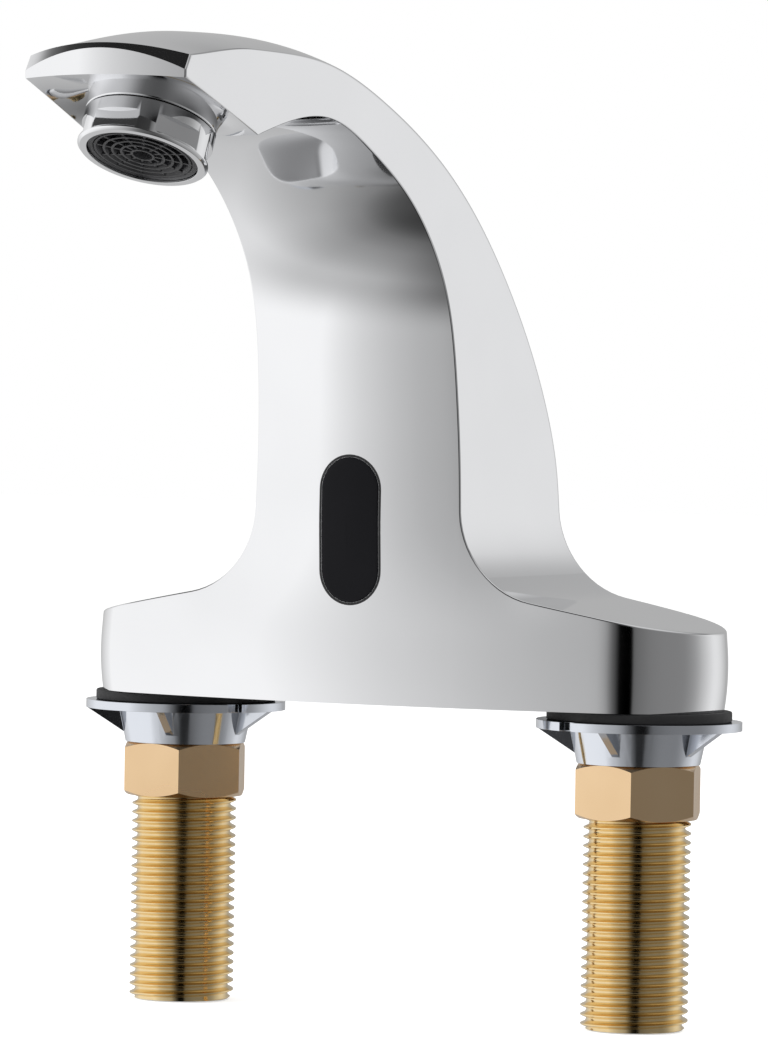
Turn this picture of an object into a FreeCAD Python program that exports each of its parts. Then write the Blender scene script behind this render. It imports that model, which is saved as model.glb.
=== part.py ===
import FreeCAD, Part

import math
import os

Vec = FreeCAD.Vector

# Millimetres. Origin: midway between the two shanks, on the underside of the base.
# +X to the right along the base, -Y to the front (spout side), +Z up.

# ---- driving dimensions -------------------------------------------------------------------
# base
SHANK_SPACING = 101.6        # between shank centres
BASE_END_CENTRE = 47.0       # centre of each rounded base end, from the middle
BASE_END_RADIUS = 20.5
BASE_FRONT_DEPTH = 25.6      # middle of the base front, from the origin
BASE_BACK_DEPTH = 25.0
BASE_END_HEIGHT = 15.2       # top of the base at its two ends
BASE_TOP_SLOPE = 10.5        # degrees the base top climbs towards the neck
BASE_BULGE = 0.6             # barrel of the base wall between its lower and upper edge
BASE_BULGE_HEIGHT = 8.0      # height of the widest line of that barrel
FOOT_RISE = 1.2              # height of the neck side above the foot, in foot radii
FOOT_RADIUS = 18.0           # hollow curve between base top and neck side
FOOT_HALF_WIDTH = 23.4       # neck half width where its sides reach the base top line
FOOT_FRONT_SETBACK = 2.8     # how far the base's front draws in by the top of the feet
FOOT_BACK_SETBACK = 5.4      # and its back
CAST_WALL = 2.6

# neck and spout, measured along the object's middle plane
NECK_LEAN = 2.6              # degrees the neck sides lean in above the foot
TIP_REACH = 122.5            # foremost point of the spout, ahead of the origin
TIP_CORNER_SETBACK = 2.4     # how far the tip's corners lie behind its middle
TIP_BEVEL_MIDDLE = 122.4     # height of the bevel's lower edge at the middle
TIP_BEVEL_CORNER = 118.4     # and at the tip's corners
TIP_BEVEL_PITCH = 1.6        # rise of the bevel per unit of depth
TIP_HALF_WIDTH = 17.0
TIP_STOCK = 1.5              # the spout's end before trimming, beyond each corner
TIP_TRIM_DEPTH = 20.0        # ahead of the tip's face
TIP_TRIM_HEIGHT = 40.0
TIP_BEVEL_LEAD = 5.0         # the bevel's cut starts this far ahead of the tip
TIP_BEVEL_RUN = 16.0         # and runs this far back

# spout outlet and aerator; S runs up the tilted outlet axis from the aerator's face
OUTLET_Y = -106.5
OUTLET_Z = 103.0
OUTLET_TILT = 24.0           # degrees the water jet points forwards of straight down
AERATOR_RADIUS = 12.25
AERATOR_HEIGHT = 6.7
AERATOR_MOUTH_RADIUS = 10.0
AERATOR_LEDGE = 1.2          # thickness of the shell's inward lip
AERATOR_RIM_CHAMFER = 0.5
AERATOR_FLAT_COUNT = 6
AERATOR_FLAT_RADIUS = 11.4   # from the axis to each wrench flat
AERATOR_FLAT_START = 0.9
AERATOR_FLAT_HEIGHT = 3.4
SEAM = 0.3                   # shadow gap between shell and collar
COLLAR_HEIGHT = 9.0          # collar of the casting above the seam, foot hidden in the head
SCOOP_RADIUS = 16.6          # hollow around the collar at the spout's underside
SCOOP_DEPTH = 4.4
OUTLET_THREAD_RADIUS = 10.3
OUTLET_BORE_RADIUS = 8.5
ADAPTER_STEM_RADIUS = 9.6
ADAPTER_STEM_HEIGHT = 6.0
ADAPTER_FLANGE_HEIGHT = 0.8
ORING_THICKNESS = 1.0
INSERT_FACE_RADIUS = 9.2
INSERT_RECESS = 0.5          # how far the insert's face lies inside the shell's mouth
INSERT_FLANGE_HEIGHT = 1.0
INSERT_CUP_RADIUS = 8.1
INSERT_CUP_HEIGHT = 3.4
INSERT_CUP_WALL = 0.8
INSERT_RING_RADII = (1.84, 3.6, 5.1, 6.5, 8.0)
INSERT_RING_WALL = 0.4
INSERT_RIB_COUNT = 12
INSERT_GRILLE_HEIGHT = 1.3
SCREEN_THICKNESS = 0.5
WASHER_HEIGHT = 1.2

# sensor
WINDOW_WIDTH = 12.6
WINDOW_HEIGHT = 28.3
WINDOW_CENTRE_Z = 33.8
WINDOW_SEAL = 0.5            # rubber line around the window
NOSE_LENGTH = 3.4            # housing nose inside the window's hole
HOUSING_WIDTH = 17.0
HOUSING_HEIGHT = 32.0
HOUSING_DEPTH = 11.0
HOUSING_WALL = 1.4
HOUSING_FRONT_Y = -20.2      # front of the housing, just inside the cast wall
EAR_LENGTH = 6.0
EAR_THICKNESS = 2.0
SCREW_RADIUS = 1.5
SCREW_HEAD_RADIUS = 2.6
SCREW_HEAD_HEIGHT = 1.8
SCREW_LENGTH = 5.0
SCREW_BOSS_RADIUS = 3.0
SCREW_BOSS_LENGTH = 8.0
COVER_THICKNESS = 1.6
BOARD_THICKNESS = 1.2
BOARD_BACK_GAP = 3.0
DIODE_RADIUS = 2.5
DIODE_LENGTH = 5.0
DIODE_SPACING = 13.0

# shanks and their clamps, twice
SHANK_RADIUS = 10.4775       # pipe thread, half of 20.955
SHANK_NECK_RADIUS = 10.2     # plain stretch above the thread
THREAD_RUNOUT = 0.5          # the thread ends this far below the nut's resting place
SHANK_BORE_RADIUS = 7.5
SHANK_BOTTOM_Z = -62.0
SHANK_TOP_Z = 5.0
SHANK_CHAMFER = 0.8
BOSS_WALL = 3.2
CHAMBER_RADIUS = 8.6
CHAMBER_HEIGHT = 7.6
GASKET_RADIUS = 18.0
GASKET_THICKNESS = 2.0
FLANGE_RADIUS = 20.0
FLANGE_RIM = 1.7
FLANGE_HEIGHT = 8.4
HUB_RADIUS = 12.0
HUB_FOOT_RADIUS = 13.4
GUSSET_COUNT = 5
GUSSET_THICKNESS = 1.6
GUSSET_BOTTOM_GAP = 1.6      # the gussets end this far above the hub's lower end
NOTCH_WIDTH = 3.2
NOTCH_DEPTH = 1.5
NUT_ACROSS_FLATS = 23.0
NUT_HEIGHT = 10.6
NUT_CORNER_CHAMFER = 30.0    # degrees of the cone that trims the nut's corners
# how far each side's washer, rim notch and nut are turned from +X, in degrees
LEFT_TURNS = (-74.5, -30.5, -5.2)
RIGHT_TURNS = (-84.5, -109.0, -9.6)

# waterway
TUBE_RADIUS = 3.2
TUBE_WALL = 0.6
TUBE_RUN_Z = 9.2             # height of its run along the base
TUBE_RISER_Y = 4.5           # its run up the neck
TUBE_SHOULDER_Z = 68.0
TUBE_ELBOW = (-30.0, 100.0)  # y, z of its bend under the crown
TUBE_CREST = (-68.0, 118.2)
TUBE_END_Y = -91.5
TUBE_BEND_RADIUS = 10.0
SLEEVE_WALL = 1.2
SLEEVE_LENGTH = 4.0
GROMMET_HEIGHT = 2.4
GROMMET_LIP = 1.0
GROMMET_HOLE_RADIUS = 2.5

# clearances
SHANK_CLEARANCE = 0.35       # gasket and washer around the shank, in radius
NUT_CLEARANCE = 0.12         # nut around the shank, in radius
THREAD_CLEARANCE = 0.3       # shell around the outlet thread, in radius
SEAT_GAP = 0.05              # between parts that rest on each other but move apart
FIT = 0.1                    # loose fit of inner parts
OVERRUN = 1.0                # a cut starts or ends this far outside what it cuts

# Sections of the neck and spout. Each is a plane that holds one line across the front or
# under side and one across the back or top side:
# front y, front z, back y, back z, half width, front crown, back crown.
SECTIONS = (
    (-21.8, 12.0, 20.6, 12.0, 22.9, 3.0, 3.0),
    (-22.5, 30.0, 21.0, 30.0, 23.2, 3.1, 3.2),
    (-22.4, 46.0, 19.2, 46.0, 22.6, 3.2, 3.4),
    (-23.2, 60.0, 13.4, 61.0, 22.1, 3.2, 3.6),
    (-25.6, 75.0, 3.2, 76.5, 21.7, 3.1, 3.8),
    (-31.9, 88.0, -11.5, 92.6, 21.2, 2.6, 4.0),
    (-41.7, 98.0, -28.0, 105.0, 20.6, 2.0, 4.2),
    (-55.0, 106.3, -48.0, 115.0, 19.6, 1.2, 4.3),
    (-70.0, 111.7, -68.5, 121.4, 18.9, 0.6, 4.2),
    (-85.0, 110.3, -85.5, 123.0, 18.3, 0.3, 3.9),
    (-95.0, 107.6, -97.0, 123.2, 17.9, 0.2, 3.5),
    (-109.0, 112.4, -110.0, 122.6, 17.4, 0.2, 3.0),
    (-124.0, 118.5, -124.5, 120.4, 16.8, 0.2, 2.4),
)
HOLLOW_SECTION_COUNT = 9     # the neck is hollow up to this section


# ---- small helpers ------------------------------------------------------------------------
def arc(a, b, c):
    return Part.Arc(Vec(*a), Vec(*b), Vec(*c)).toShape()


def line(a, b):
    return Part.LineSegment(Vec(*a), Vec(*b)).toShape()


def polygon_face(points):
    return Part.Face(Part.makePolygon([Vec(*p) for p in points + points[:1]]))


def tube(radius, bore, bottom, top, centre=(0.0, 0.0)):
    """Upright ring between two heights."""
    base = Vec(centre[0], centre[1], bottom)
    outer = Part.makeCylinder(radius, top - bottom, base)
    return outer.cut(Part.makeCylinder(bore, top - bottom, base))


def revolved(points):
    """Turn an (r, z) outline about the Z axis."""
    face = polygon_face([(r, 0.0, z) for r, z in points])
    return face.revolve(Vec(0, 0, 0), Vec(0, 0, 1), 360)


def to_outlet(shape):
    """Carry a shape from an upright axis to the tilted outlet axis."""
    moved = shape.copy()
    moved.rotate(Vec(0, 0, 0), Vec(1, 0, 0), -OUTLET_TILT)
    moved.translate(Vec(0, OUTLET_Y, OUTLET_Z))
    return moved


def stadium(width, height, y_from, y_to, centre_z):
    """Upright stadium plate, its thickness along Y."""
    half, straight = width / 2, (height - width) / 2
    low, high = centre_z - straight, centre_z + straight
    wire = Part.Wire([
        line((half, y_from, low), (half, y_from, high)),
        arc((half, y_from, high), (0, y_from, high + half), (-half, y_from, high)),
        line((-half, y_from, high), (-half, y_from, low)),
        arc((-half, y_from, low), (0, y_from, low - half), (half, y_from, low)),
    ])
    return Part.Face(wire).extrude(Vec(0, y_to - y_from, 0))


# ---- the casting --------------------------------------------------------------------------
def oval(z, inset, front_setback=0.0, back_setback=0.0):
    """Plan outline of the base: two round ends joined by two shallow arcs, all tangent."""
    end_radius = BASE_END_RADIUS - inset - max(front_setback, back_setback)
    edges = []
    tangents = []
    for depth in (BASE_FRONT_DEPTH - inset - front_setback, BASE_BACK_DEPTH - inset - back_setback):
        big = (BASE_END_CENTRE ** 2 + depth ** 2 - end_radius ** 2) / (2 * (depth - end_radius))
        reach = big - end_radius
        along, aside = end_radius / reach * BASE_END_CENTRE, end_radius / reach * (big - depth)
        tangents.append((BASE_END_CENTRE + along, aside, depth))
    (front_x, front_y, front_depth), (back_x, back_y, back_depth) = tangents
    end = BASE_END_CENTRE + end_radius
    edges.append(arc((-front_x, -front_y, z), (0, -front_depth, z), (front_x, -front_y, z)))
    edges.append(arc((front_x, -front_y, z), (end, 0, z), (back_x, back_y, z)))
    edges.append(arc((back_x, back_y, z), (0, back_depth, z), (-back_x, back_y, z)))
    edges.append(arc((-back_x, back_y, z), (-end, 0, z), (-front_x, -front_y, z)))
    return Part.Wire(edges)


def front_view(inset):
    """Outline seen from the front: low base, hollow feet, neck sides; a prism through Y."""
    slope = math.tan(math.radians(BASE_TOP_SLOPE))
    lean = math.tan(math.radians(NECK_LEAN))
    outer = BASE_END_CENTRE + BASE_END_RADIUS + BASE_BULGE_HEIGHT
    half = FOOT_HALF_WIDTH - inset
    edge_z = BASE_END_HEIGHT - inset - slope * BASE_BULGE_HEIGHT
    foot_z = BASE_END_HEIGHT - inset + slope * (BASE_END_CENTRE + BASE_END_RADIUS - half)
    top_z = foot_z + FOOT_RADIUS * FOOT_RISE
    top_half = half - lean * (top_z - foot_z)
    deep = BASE_FRONT_DEPTH + BASE_BACK_DEPTH
    points = [(outer, -deep, -OVERRUN), (outer, -deep, edge_z),
              (half, -deep, foot_z), (top_half, -deep, top_z)]
    mirrored = [(-x, y, z) for x, y, z in reversed(points)]
    prism = polygon_face(points + mirrored).extrude(Vec(0, 2 * deep, 0))
    feet = [e for e in prism.Edges
            if abs(abs(e.CenterOfMass.x) - half) < 0.01 and abs(e.CenterOfMass.z - foot_z) < 0.01]
    return prism.makeFillet(FOOT_RADIUS, feet)


def base_block(inset, bottom):
    """Base with its barrelled wall, up to the top of the feet."""
    foot_z = BASE_END_HEIGHT + FOOT_RADIUS
    wires = [
        oval(bottom, inset + BASE_BULGE),
        oval(BASE_BULGE_HEIGHT, inset),
        oval(BASE_END_HEIGHT, inset + BASE_BULGE),
        oval(foot_z, inset, FOOT_FRONT_SETBACK / 2, FOOT_BACK_SETBACK / 3),
        oval(foot_z + FOOT_RADIUS / 2, inset, FOOT_FRONT_SETBACK, FOOT_BACK_SETBACK),
    ]
    return Part.makeLoft(wires, True).common(front_view(inset))


def neck_wire(section, inset):
    """One section: crowned front or under side, straight sides, crowned back or top."""
    front_y, front_z, back_y, back_z, half, front_crown, back_crown = section
    front, back = Vec(0, front_y, front_z), Vec(0, back_y, back_z)
    across = (back - front).normalize()
    front, back = front + across * inset, back - across * inset
    side = Vec(half - inset, 0, 0)
    a, b = front - side, front + side
    c, d = back + side, back - side
    front_mid, back_mid = front - across * front_crown, back + across * back_crown
    return Part.Wire([
        Part.Arc(a, front_mid, b).toShape(),
        Part.LineSegment(b, c).toShape(),
        Part.Arc(c, back_mid, d).toShape(),
        Part.LineSegment(d, a).toShape(),
    ])


def neck(inset, sections):
    """Smooth neck and spout through some of the sections."""
    return Part.makeLoft([neck_wire(section, inset) for section in sections], True)


def spout_end():
    """Wedge-shaped end of the spout, ruled from the last smooth section to the tip."""
    return Part.makeLoft([neck_wire(section, 0.0) for section in SECTIONS[-2:]], True, True)


def tip_trim():
    """What is cut from the end of the spout: the bowed front face and the bevel above it."""
    half = TIP_HALF_WIDTH + TIP_STOCK
    bow = TIP_CORNER_SETBACK * (half / TIP_HALF_WIDTH) ** 2
    low, high = OUTLET_Z, OUTLET_Z + TIP_TRIM_HEIGHT
    corner, ahead = -TIP_REACH + bow, -TIP_REACH - TIP_TRIM_DEPTH
    front = Part.Wire([
        arc((-half, corner, low), (0, -TIP_REACH, low), (half, corner, low)),
        line((half, corner, low), (half, ahead, low)),
        line((half, ahead, low), (-half, ahead, low)),
        line((-half, ahead, low), (-half, corner, low)),
    ])
    face_cut = Part.Face(front).extrude(Vec(0, 0, high - low))
    drop = (TIP_BEVEL_MIDDLE - TIP_BEVEL_CORNER) * (half / TIP_HALF_WIDTH) ** 2
    start = -TIP_REACH - TIP_BEVEL_LEAD
    middle = TIP_BEVEL_MIDDLE - TIP_BEVEL_PITCH * TIP_BEVEL_LEAD
    bevel = Part.Wire([
        arc((-half, start, middle - drop), (0, start, middle), (half, start, middle - drop)),
        line((half, start, middle - drop), (half, start, high)),
        line((half, start, high), (-half, start, high)),
        line((-half, start, high), (-half, start, middle - drop)),
    ])
    return face_cut.fuse(Part.Face(bevel).extrude(Vec(0, TIP_BEVEL_RUN, TIP_BEVEL_RUN * TIP_BEVEL_PITCH)))


def collar():
    """Round collar that the aerator closes against, rising into the spout head."""
    return to_outlet(Part.makeCylinder(AERATOR_RADIUS, COLLAR_HEIGHT, Vec(0, 0, AERATOR_HEIGHT + SEAM)))


def scoop():
    """Hollow under the spout head around the collar, and the free space below it."""
    base = AERATOR_HEIGHT + SEAM
    hollow = Part.makeCone(SCOOP_RADIUS, AERATOR_RADIUS, SCOOP_DEPTH, Vec(0, 0, base))
    return to_outlet(hollow.fuse(Part.makeCylinder(SCOOP_RADIUS, base)))


def shank_places():
    return (("left", -SHANK_SPACING / 2), ("right", SHANK_SPACING / 2))


def chamber_top():
    return SHANK_TOP_Z + CHAMBER_HEIGHT


def boss_radius():
    """Boss in the base around each shank's plain stretch."""
    return SHANK_NECK_RADIUS + BOSS_WALL


def window_front():
    """A plane well ahead of the curved front that the window is cut to."""
    return -BASE_FRONT_DEPTH - HOUSING_DEPTH


def outlet_seat():
    """Height on the outlet axis of the step where the adapter's O-ring seals."""
    return AERATOR_HEIGHT + SEAM + ADAPTER_FLANGE_HEIGHT


def outlet_flange_radius():
    return OUTLET_THREAD_RADIUS + ORING_THICKNESS


def stem_top():
    return outlet_seat() + ADAPTER_STEM_HEIGHT


def screw_heights():
    reach = HOUSING_HEIGHT / 2 + EAR_LENGTH / 2
    return WINDOW_CENTRE_Z - reach, WINDOW_CENTRE_Z + reach


def make_body():
    cast = base_block(0.0, 0.0).multiFuse([neck(0.0, SECTIONS[:-1]), spout_end()]).cut(tip_trim())
    hollow = base_block(CAST_WALL, -OVERRUN).fuse(neck(CAST_WALL, SECTIONS[:HOLLOW_SECTION_COUNT]))
    additions = [collar()]
    for _, x in shank_places():
        additions.append(Part.makeCylinder(boss_radius(), chamber_top() + BOSS_WALL, Vec(x, 0, 0)))
    for z in screw_heights():
        additions.append(Part.makeCylinder(SCREW_BOSS_RADIUS, SCREW_BOSS_LENGTH,
                                           Vec(0, HOUSING_FRONT_Y, z), Vec(0, -1, 0)))
    shell = cast.cut(scoop()).cut(hollow)
    outside = cast.fuse(collar())
    body = shell.multiFuse([piece.common(outside) for piece in additions])
    cuts = [
        stadium(WINDOW_WIDTH + 2 * WINDOW_SEAL, WINDOW_HEIGHT + 2 * WINDOW_SEAL,
                window_front(), HOUSING_FRONT_Y + FIT, WINDOW_CENTRE_Z),
        to_outlet(revolved([
            (0.0, AERATOR_HEIGHT - OVERRUN), (outlet_flange_radius(), AERATOR_HEIGHT - OVERRUN),
            (outlet_flange_radius(), outlet_seat()),
            (ADAPTER_STEM_RADIUS, outlet_seat()), (ADAPTER_STEM_RADIUS, stem_top()), (0.0, stem_top()),
        ])),
        tube_solid(waterway_path(-SHANK_SPACING / 2), TUBE_RADIUS),
    ]
    for _, x in shank_places():
        cuts.append(Part.makeCylinder(SHANK_NECK_RADIUS, SHANK_TOP_Z + OVERRUN, Vec(x, 0, -OVERRUN)))
        cuts.append(Part.makeCylinder(CHAMBER_RADIUS, chamber_top(), Vec(x, 0, 0)))
    for z in screw_heights():
        cuts.append(Part.makeCylinder(SCREW_RADIUS, SCREW_LENGTH - EAR_THICKNESS,
                                      Vec(0, HOUSING_FRONT_Y + FIT, z), Vec(0, -1, 0)))
    side = SHANK_SPACING / 2 - CHAMBER_RADIUS + OVERRUN
    drill = Part.makeCylinder(GROMMET_HOLE_RADIUS + GROMMET_LIP, 3 * BOSS_WALL,
                              Vec(side, 0, TUBE_RUN_Z), Vec(-1, 0, 0))
    cuts.append(drill)
    return body.cut(cuts[0].multiFuse(cuts[1:]))


# ---- waterway -----------------------------------------------------------------------------
def rounded_path(points, radius):
    """Straight runs joined by tangent arcs."""
    edges = []
    start = points[0]
    for before, corner, after in zip(points, points[1:], points[2:]):
        back, ahead = (before - corner).normalize(), (after - corner).normalize()
        half_turn = (math.pi - back.getAngle(ahead)) / 2
        cut = radius * math.tan(half_turn)
        enter, leave = corner + back * cut, corner + ahead * cut
        middle = corner + (back + ahead).normalize() * (radius / math.cos(half_turn) - radius)
        edges.append(Part.LineSegment(start, enter).toShape())
        edges.append(Part.Arc(enter, middle, leave).toShape())
        start = leave
    edges.append(Part.LineSegment(start, points[-1]).toShape())
    return Part.Wire(edges)


def waterway_path(start_x):
    """From the inlet shank's chamber along the base, up the neck and out to the aerator."""
    return rounded_path([
        Vec(start_x, 0, TUBE_RUN_Z),
        Vec(-TUBE_RUN_Z, 0, TUBE_RUN_Z),
        Vec(0, TUBE_RISER_Y, TUBE_RUN_Z + 2 * TUBE_BEND_RADIUS),
        Vec(0, TUBE_RISER_Y, TUBE_SHOULDER_Z),
        Vec(0, *TUBE_ELBOW),
        Vec(0, *TUBE_CREST),
        Vec(0, TUBE_END_Y, TUBE_CREST[1]),
    ], TUBE_BEND_RADIUS)


def tube_solid(path, radius):
    start = path.Edges[0]
    direction = start.tangentAt(start.FirstParameter)
    ring = Part.Wire(Part.makeCircle(radius, start.valueAt(start.FirstParameter), direction))
    return path.makePipeShell([ring], True, False)


def make_waterway(path):
    return tube_solid(path, TUBE_RADIUS).cut(tube_solid(path, TUBE_RADIUS - TUBE_WALL))


def make_sleeve():
    """Sealing sleeve on the tube where it leaves the inlet boss."""
    face_x = -SHANK_SPACING / 2 + boss_radius()
    base = Vec(face_x, 0, TUBE_RUN_Z)
    outer = Part.makeCylinder(TUBE_RADIUS + SLEEVE_WALL, SLEEVE_LENGTH, base, Vec(1, 0, 0))
    return outer.cut(Part.makeCylinder(TUBE_RADIUS, SLEEVE_LENGTH, base, Vec(1, 0, 0)))


def make_grommet():
    """Rubber bush where the sensor's lead would pass into the second shank."""
    face_x = SHANK_SPACING / 2 - boss_radius()
    hole = GROMMET_HOLE_RADIUS
    stem = Part.makeCylinder(hole + GROMMET_LIP, BOSS_WALL, Vec(face_x, 0, TUBE_RUN_Z), Vec(1, 0, 0))
    lip = Part.makeCylinder(hole + 2 * GROMMET_LIP, GROMMET_HEIGHT,
                            Vec(face_x, 0, TUBE_RUN_Z), Vec(-1, 0, 0))
    bore = Part.makeCylinder(hole, BOSS_WALL + GROMMET_HEIGHT,
                             Vec(face_x + BOSS_WALL, 0, TUBE_RUN_Z), Vec(-1, 0, 0))
    return stem.fuse(lip).cut(bore)


# ---- outlet and aerator -------------------------------------------------------------------
def ledge_top():
    return AERATOR_LEDGE


def washer_bottom():
    return AERATOR_LEDGE + INSERT_FLANGE_HEIGHT


def nipple_bottom():
    return washer_bottom() + WASHER_HEIGHT + SEAT_GAP


def make_outlet_adapter():
    """Threaded nipple the aerator screws onto, with its stem seated in the collar."""
    seat = outlet_seat()
    bore = OUTLET_BORE_RADIUS
    flange = outlet_flange_radius()
    flange_bottom = AERATOR_HEIGHT + SEAM
    return to_outlet(revolved([
        (bore, nipple_bottom()), (OUTLET_THREAD_RADIUS, nipple_bottom()),
        (OUTLET_THREAD_RADIUS, flange_bottom), (flange, flange_bottom),
        (flange, seat - ORING_THICKNESS / 2), (ADAPTER_STEM_RADIUS, seat - ORING_THICKNESS / 2),
        (ADAPTER_STEM_RADIUS, stem_top()), (bore, stem_top()),
    ]))


def make_oring():
    top, bottom = outlet_seat(), outlet_seat() - ORING_THICKNESS / 2
    inner, outer = ADAPTER_STEM_RADIUS, outlet_flange_radius()
    return to_outlet(revolved([(inner, bottom), (outer, bottom), (outer, top), (inner, top)]))


def make_aerator_shell():
    """Chromed shell: inward lip at the mouth, threaded bore above, wrench flats outside."""
    outer, mouth = AERATOR_RADIUS, AERATOR_MOUTH_RADIUS
    bore = OUTLET_THREAD_RADIUS + THREAD_CLEARANCE
    shell = revolved([
        (mouth, 0.0), (outer - AERATOR_RIM_CHAMFER, 0.0), (outer, AERATOR_RIM_CHAMFER),
        (outer, AERATOR_HEIGHT), (bore, AERATOR_HEIGHT), (bore, ledge_top()), (mouth, ledge_top()),
    ])
    flats = []
    for i in range(AERATOR_FLAT_COUNT):
        block = Part.makeBox(outer, 2 * outer, AERATOR_FLAT_HEIGHT,
                             Vec(AERATOR_FLAT_RADIUS, -outer, AERATOR_FLAT_START))
        block.rotate(Vec(0, 0, 0), Vec(0, 0, 1), (i + 0.5) * 360.0 / AERATOR_FLAT_COUNT)
        flats.append(block)
    return to_outlet(shell.cut(flats[0].multiFuse(flats[1:])))


def make_aerator_insert():
    """Plastic flow straightener: cup with a flange, and a face of rings tied by radial ribs."""
    face = INSERT_RECESS
    flange_radius = OUTLET_THREAD_RADIUS + THREAD_CLEARANCE - FIT
    top = washer_bottom() + INSERT_CUP_HEIGHT
    grille_top = face + INSERT_GRILLE_HEIGHT
    cup = revolved([
        (INSERT_FACE_RADIUS - INSERT_CUP_WALL, face), (INSERT_FACE_RADIUS, face),
        (INSERT_FACE_RADIUS, ledge_top()), (flange_radius, ledge_top()),
        (flange_radius, washer_bottom()), (INSERT_CUP_RADIUS, washer_bottom()),
        (INSERT_CUP_RADIUS, top), (INSERT_CUP_RADIUS - INSERT_CUP_WALL, top),
        (INSERT_CUP_RADIUS - INSERT_CUP_WALL, grille_top),
        (INSERT_FACE_RADIUS - INSERT_CUP_WALL, grille_top),
    ])
    half = INSERT_RING_WALL / 2
    pieces = [tube(radius + half, radius - half, face, grille_top) for radius in INSERT_RING_RADII]
    rib_start = INSERT_RING_RADII[0]
    rib_length = INSERT_FACE_RADIUS - half - rib_start
    for i in range(INSERT_RIB_COUNT):
        rib = Part.makeBox(rib_length, INSERT_RING_WALL, INSERT_GRILLE_HEIGHT - half,
                           Vec(rib_start, -half, face + half))
        rib.rotate(Vec(0, 0, 0), Vec(0, 0, 1), i * 360.0 / INSERT_RIB_COUNT)
        pieces.append(rib)
    return to_outlet(cup.multiFuse(pieces))


def make_aerator_screen():
    """Fine mesh disc that lies on the grille inside the insert's cup."""
    radius = INSERT_CUP_RADIUS - INSERT_CUP_WALL
    base = Vec(0, 0, INSERT_RECESS + INSERT_GRILLE_HEIGHT)
    return to_outlet(Part.makeCylinder(radius, SCREEN_THICKNESS, base))


def make_aerator_washer():
    """Rubber washer between the insert's flange and the nipple."""
    outer = OUTLET_THREAD_RADIUS + THREAD_CLEARANCE - FIT
    return to_outlet(tube(outer, INSERT_CUP_RADIUS + FIT, washer_bottom(), washer_bottom() + WASHER_HEIGHT))


# ---- sensor -------------------------------------------------------------------------------
def make_window(outside):
    """Infrared-clear window, flush with the curved front of the neck."""
    back = HOUSING_FRONT_Y - NOSE_LENGTH
    plate = stadium(WINDOW_WIDTH, WINDOW_HEIGHT, window_front(), back, WINDOW_CENTRE_Z)
    return plate.common(outside)


def make_window_seal(outside):
    back = HOUSING_FRONT_Y - NOSE_LENGTH
    width, height = WINDOW_WIDTH + 2 * WINDOW_SEAL, WINDOW_HEIGHT + 2 * WINDOW_SEAL
    ring = stadium(width, height, window_front(), back, WINDOW_CENTRE_Z)
    ring = ring.cut(stadium(WINDOW_WIDTH, WINDOW_HEIGHT,
                            window_front() - OVERRUN, back + OVERRUN, WINDOW_CENTRE_Z))
    return ring.common(outside)


def make_sensor_housing():
    """Open-backed box with a nose that reaches into the window's hole and two screw ears."""
    front, wall = HOUSING_FRONT_Y + FIT, HOUSING_WALL
    low = WINDOW_CENTRE_Z - HOUSING_HEIGHT / 2
    box = Part.makeBox(HOUSING_WIDTH, HOUSING_DEPTH, HOUSING_HEIGHT, Vec(-HOUSING_WIDTH / 2, front, low))
    nose = stadium(WINDOW_WIDTH, WINDOW_HEIGHT, HOUSING_FRONT_Y - NOSE_LENGTH, front, WINDOW_CENTRE_Z)
    ears = Part.makeBox(2 * SCREW_BOSS_RADIUS, EAR_THICKNESS, HOUSING_HEIGHT + 2 * EAR_LENGTH,
                        Vec(-SCREW_BOSS_RADIUS, front, low - EAR_LENGTH))
    inside = Part.makeBox(HOUSING_WIDTH - 2 * wall, HOUSING_DEPTH, HOUSING_HEIGHT - 2 * wall,
                          Vec(wall - HOUSING_WIDTH / 2, front + EAR_THICKNESS, low + wall))
    sight = stadium(WINDOW_WIDTH - 2 * wall, WINDOW_HEIGHT - 2 * wall,
                    HOUSING_FRONT_Y - NOSE_LENGTH - OVERRUN, front + EAR_THICKNESS + OVERRUN,
                    WINDOW_CENTRE_Z)
    housing = box.multiFuse([nose, ears]).cut(inside.fuse(sight))
    for z in screw_heights():
        hole = Part.makeCylinder(SCREW_RADIUS, EAR_THICKNESS + 2 * OVERRUN,
                                 Vec(0, front - OVERRUN, z), Vec(0, 1, 0))
        housing = housing.cut(hole)
    return housing


def housing_back():
    return HOUSING_FRONT_Y + FIT + HOUSING_DEPTH


def make_sensor_cover():
    return Part.makeBox(HOUSING_WIDTH, COVER_THICKNESS, HOUSING_HEIGHT,
                        Vec(-HOUSING_WIDTH / 2, housing_back(), WINDOW_CENTRE_Z - HOUSING_HEIGHT / 2))


def board_front():
    return housing_back() - BOARD_BACK_GAP - BOARD_THICKNESS


def make_sensor_board():
    """Board across the housing, with two spacer pads against the rear cover."""
    width, height = HOUSING_WIDTH - 2 * HOUSING_WALL, HOUSING_HEIGHT - 2 * HOUSING_WALL
    board = Part.makeBox(width, BOARD_THICKNESS, height,
                         Vec(-width / 2, board_front(), WINDOW_CENTRE_Z - height / 2))
    pads = []
    for side in (-1, 1):
        z = WINDOW_CENTRE_Z + side * height / 3
        pads.append(Part.makeCylinder(DIODE_RADIUS, BOARD_BACK_GAP,
                                      Vec(0, board_front() + BOARD_THICKNESS, z), Vec(0, 1, 0)))
    return board.multiFuse(pads)


def make_diode(side):
    """Domed infrared diode standing on the board, aimed through the window."""
    z = WINDOW_CENTRE_Z + side * DIODE_SPACING / 2
    barrel = DIODE_LENGTH - DIODE_RADIUS
    stem = Part.makeCylinder(DIODE_RADIUS, barrel, Vec(0, board_front(), z), Vec(0, -1, 0))
    dome = Part.makeSphere(DIODE_RADIUS, Vec(0, board_front() - barrel, z))
    return stem.fuse(dome)


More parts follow.
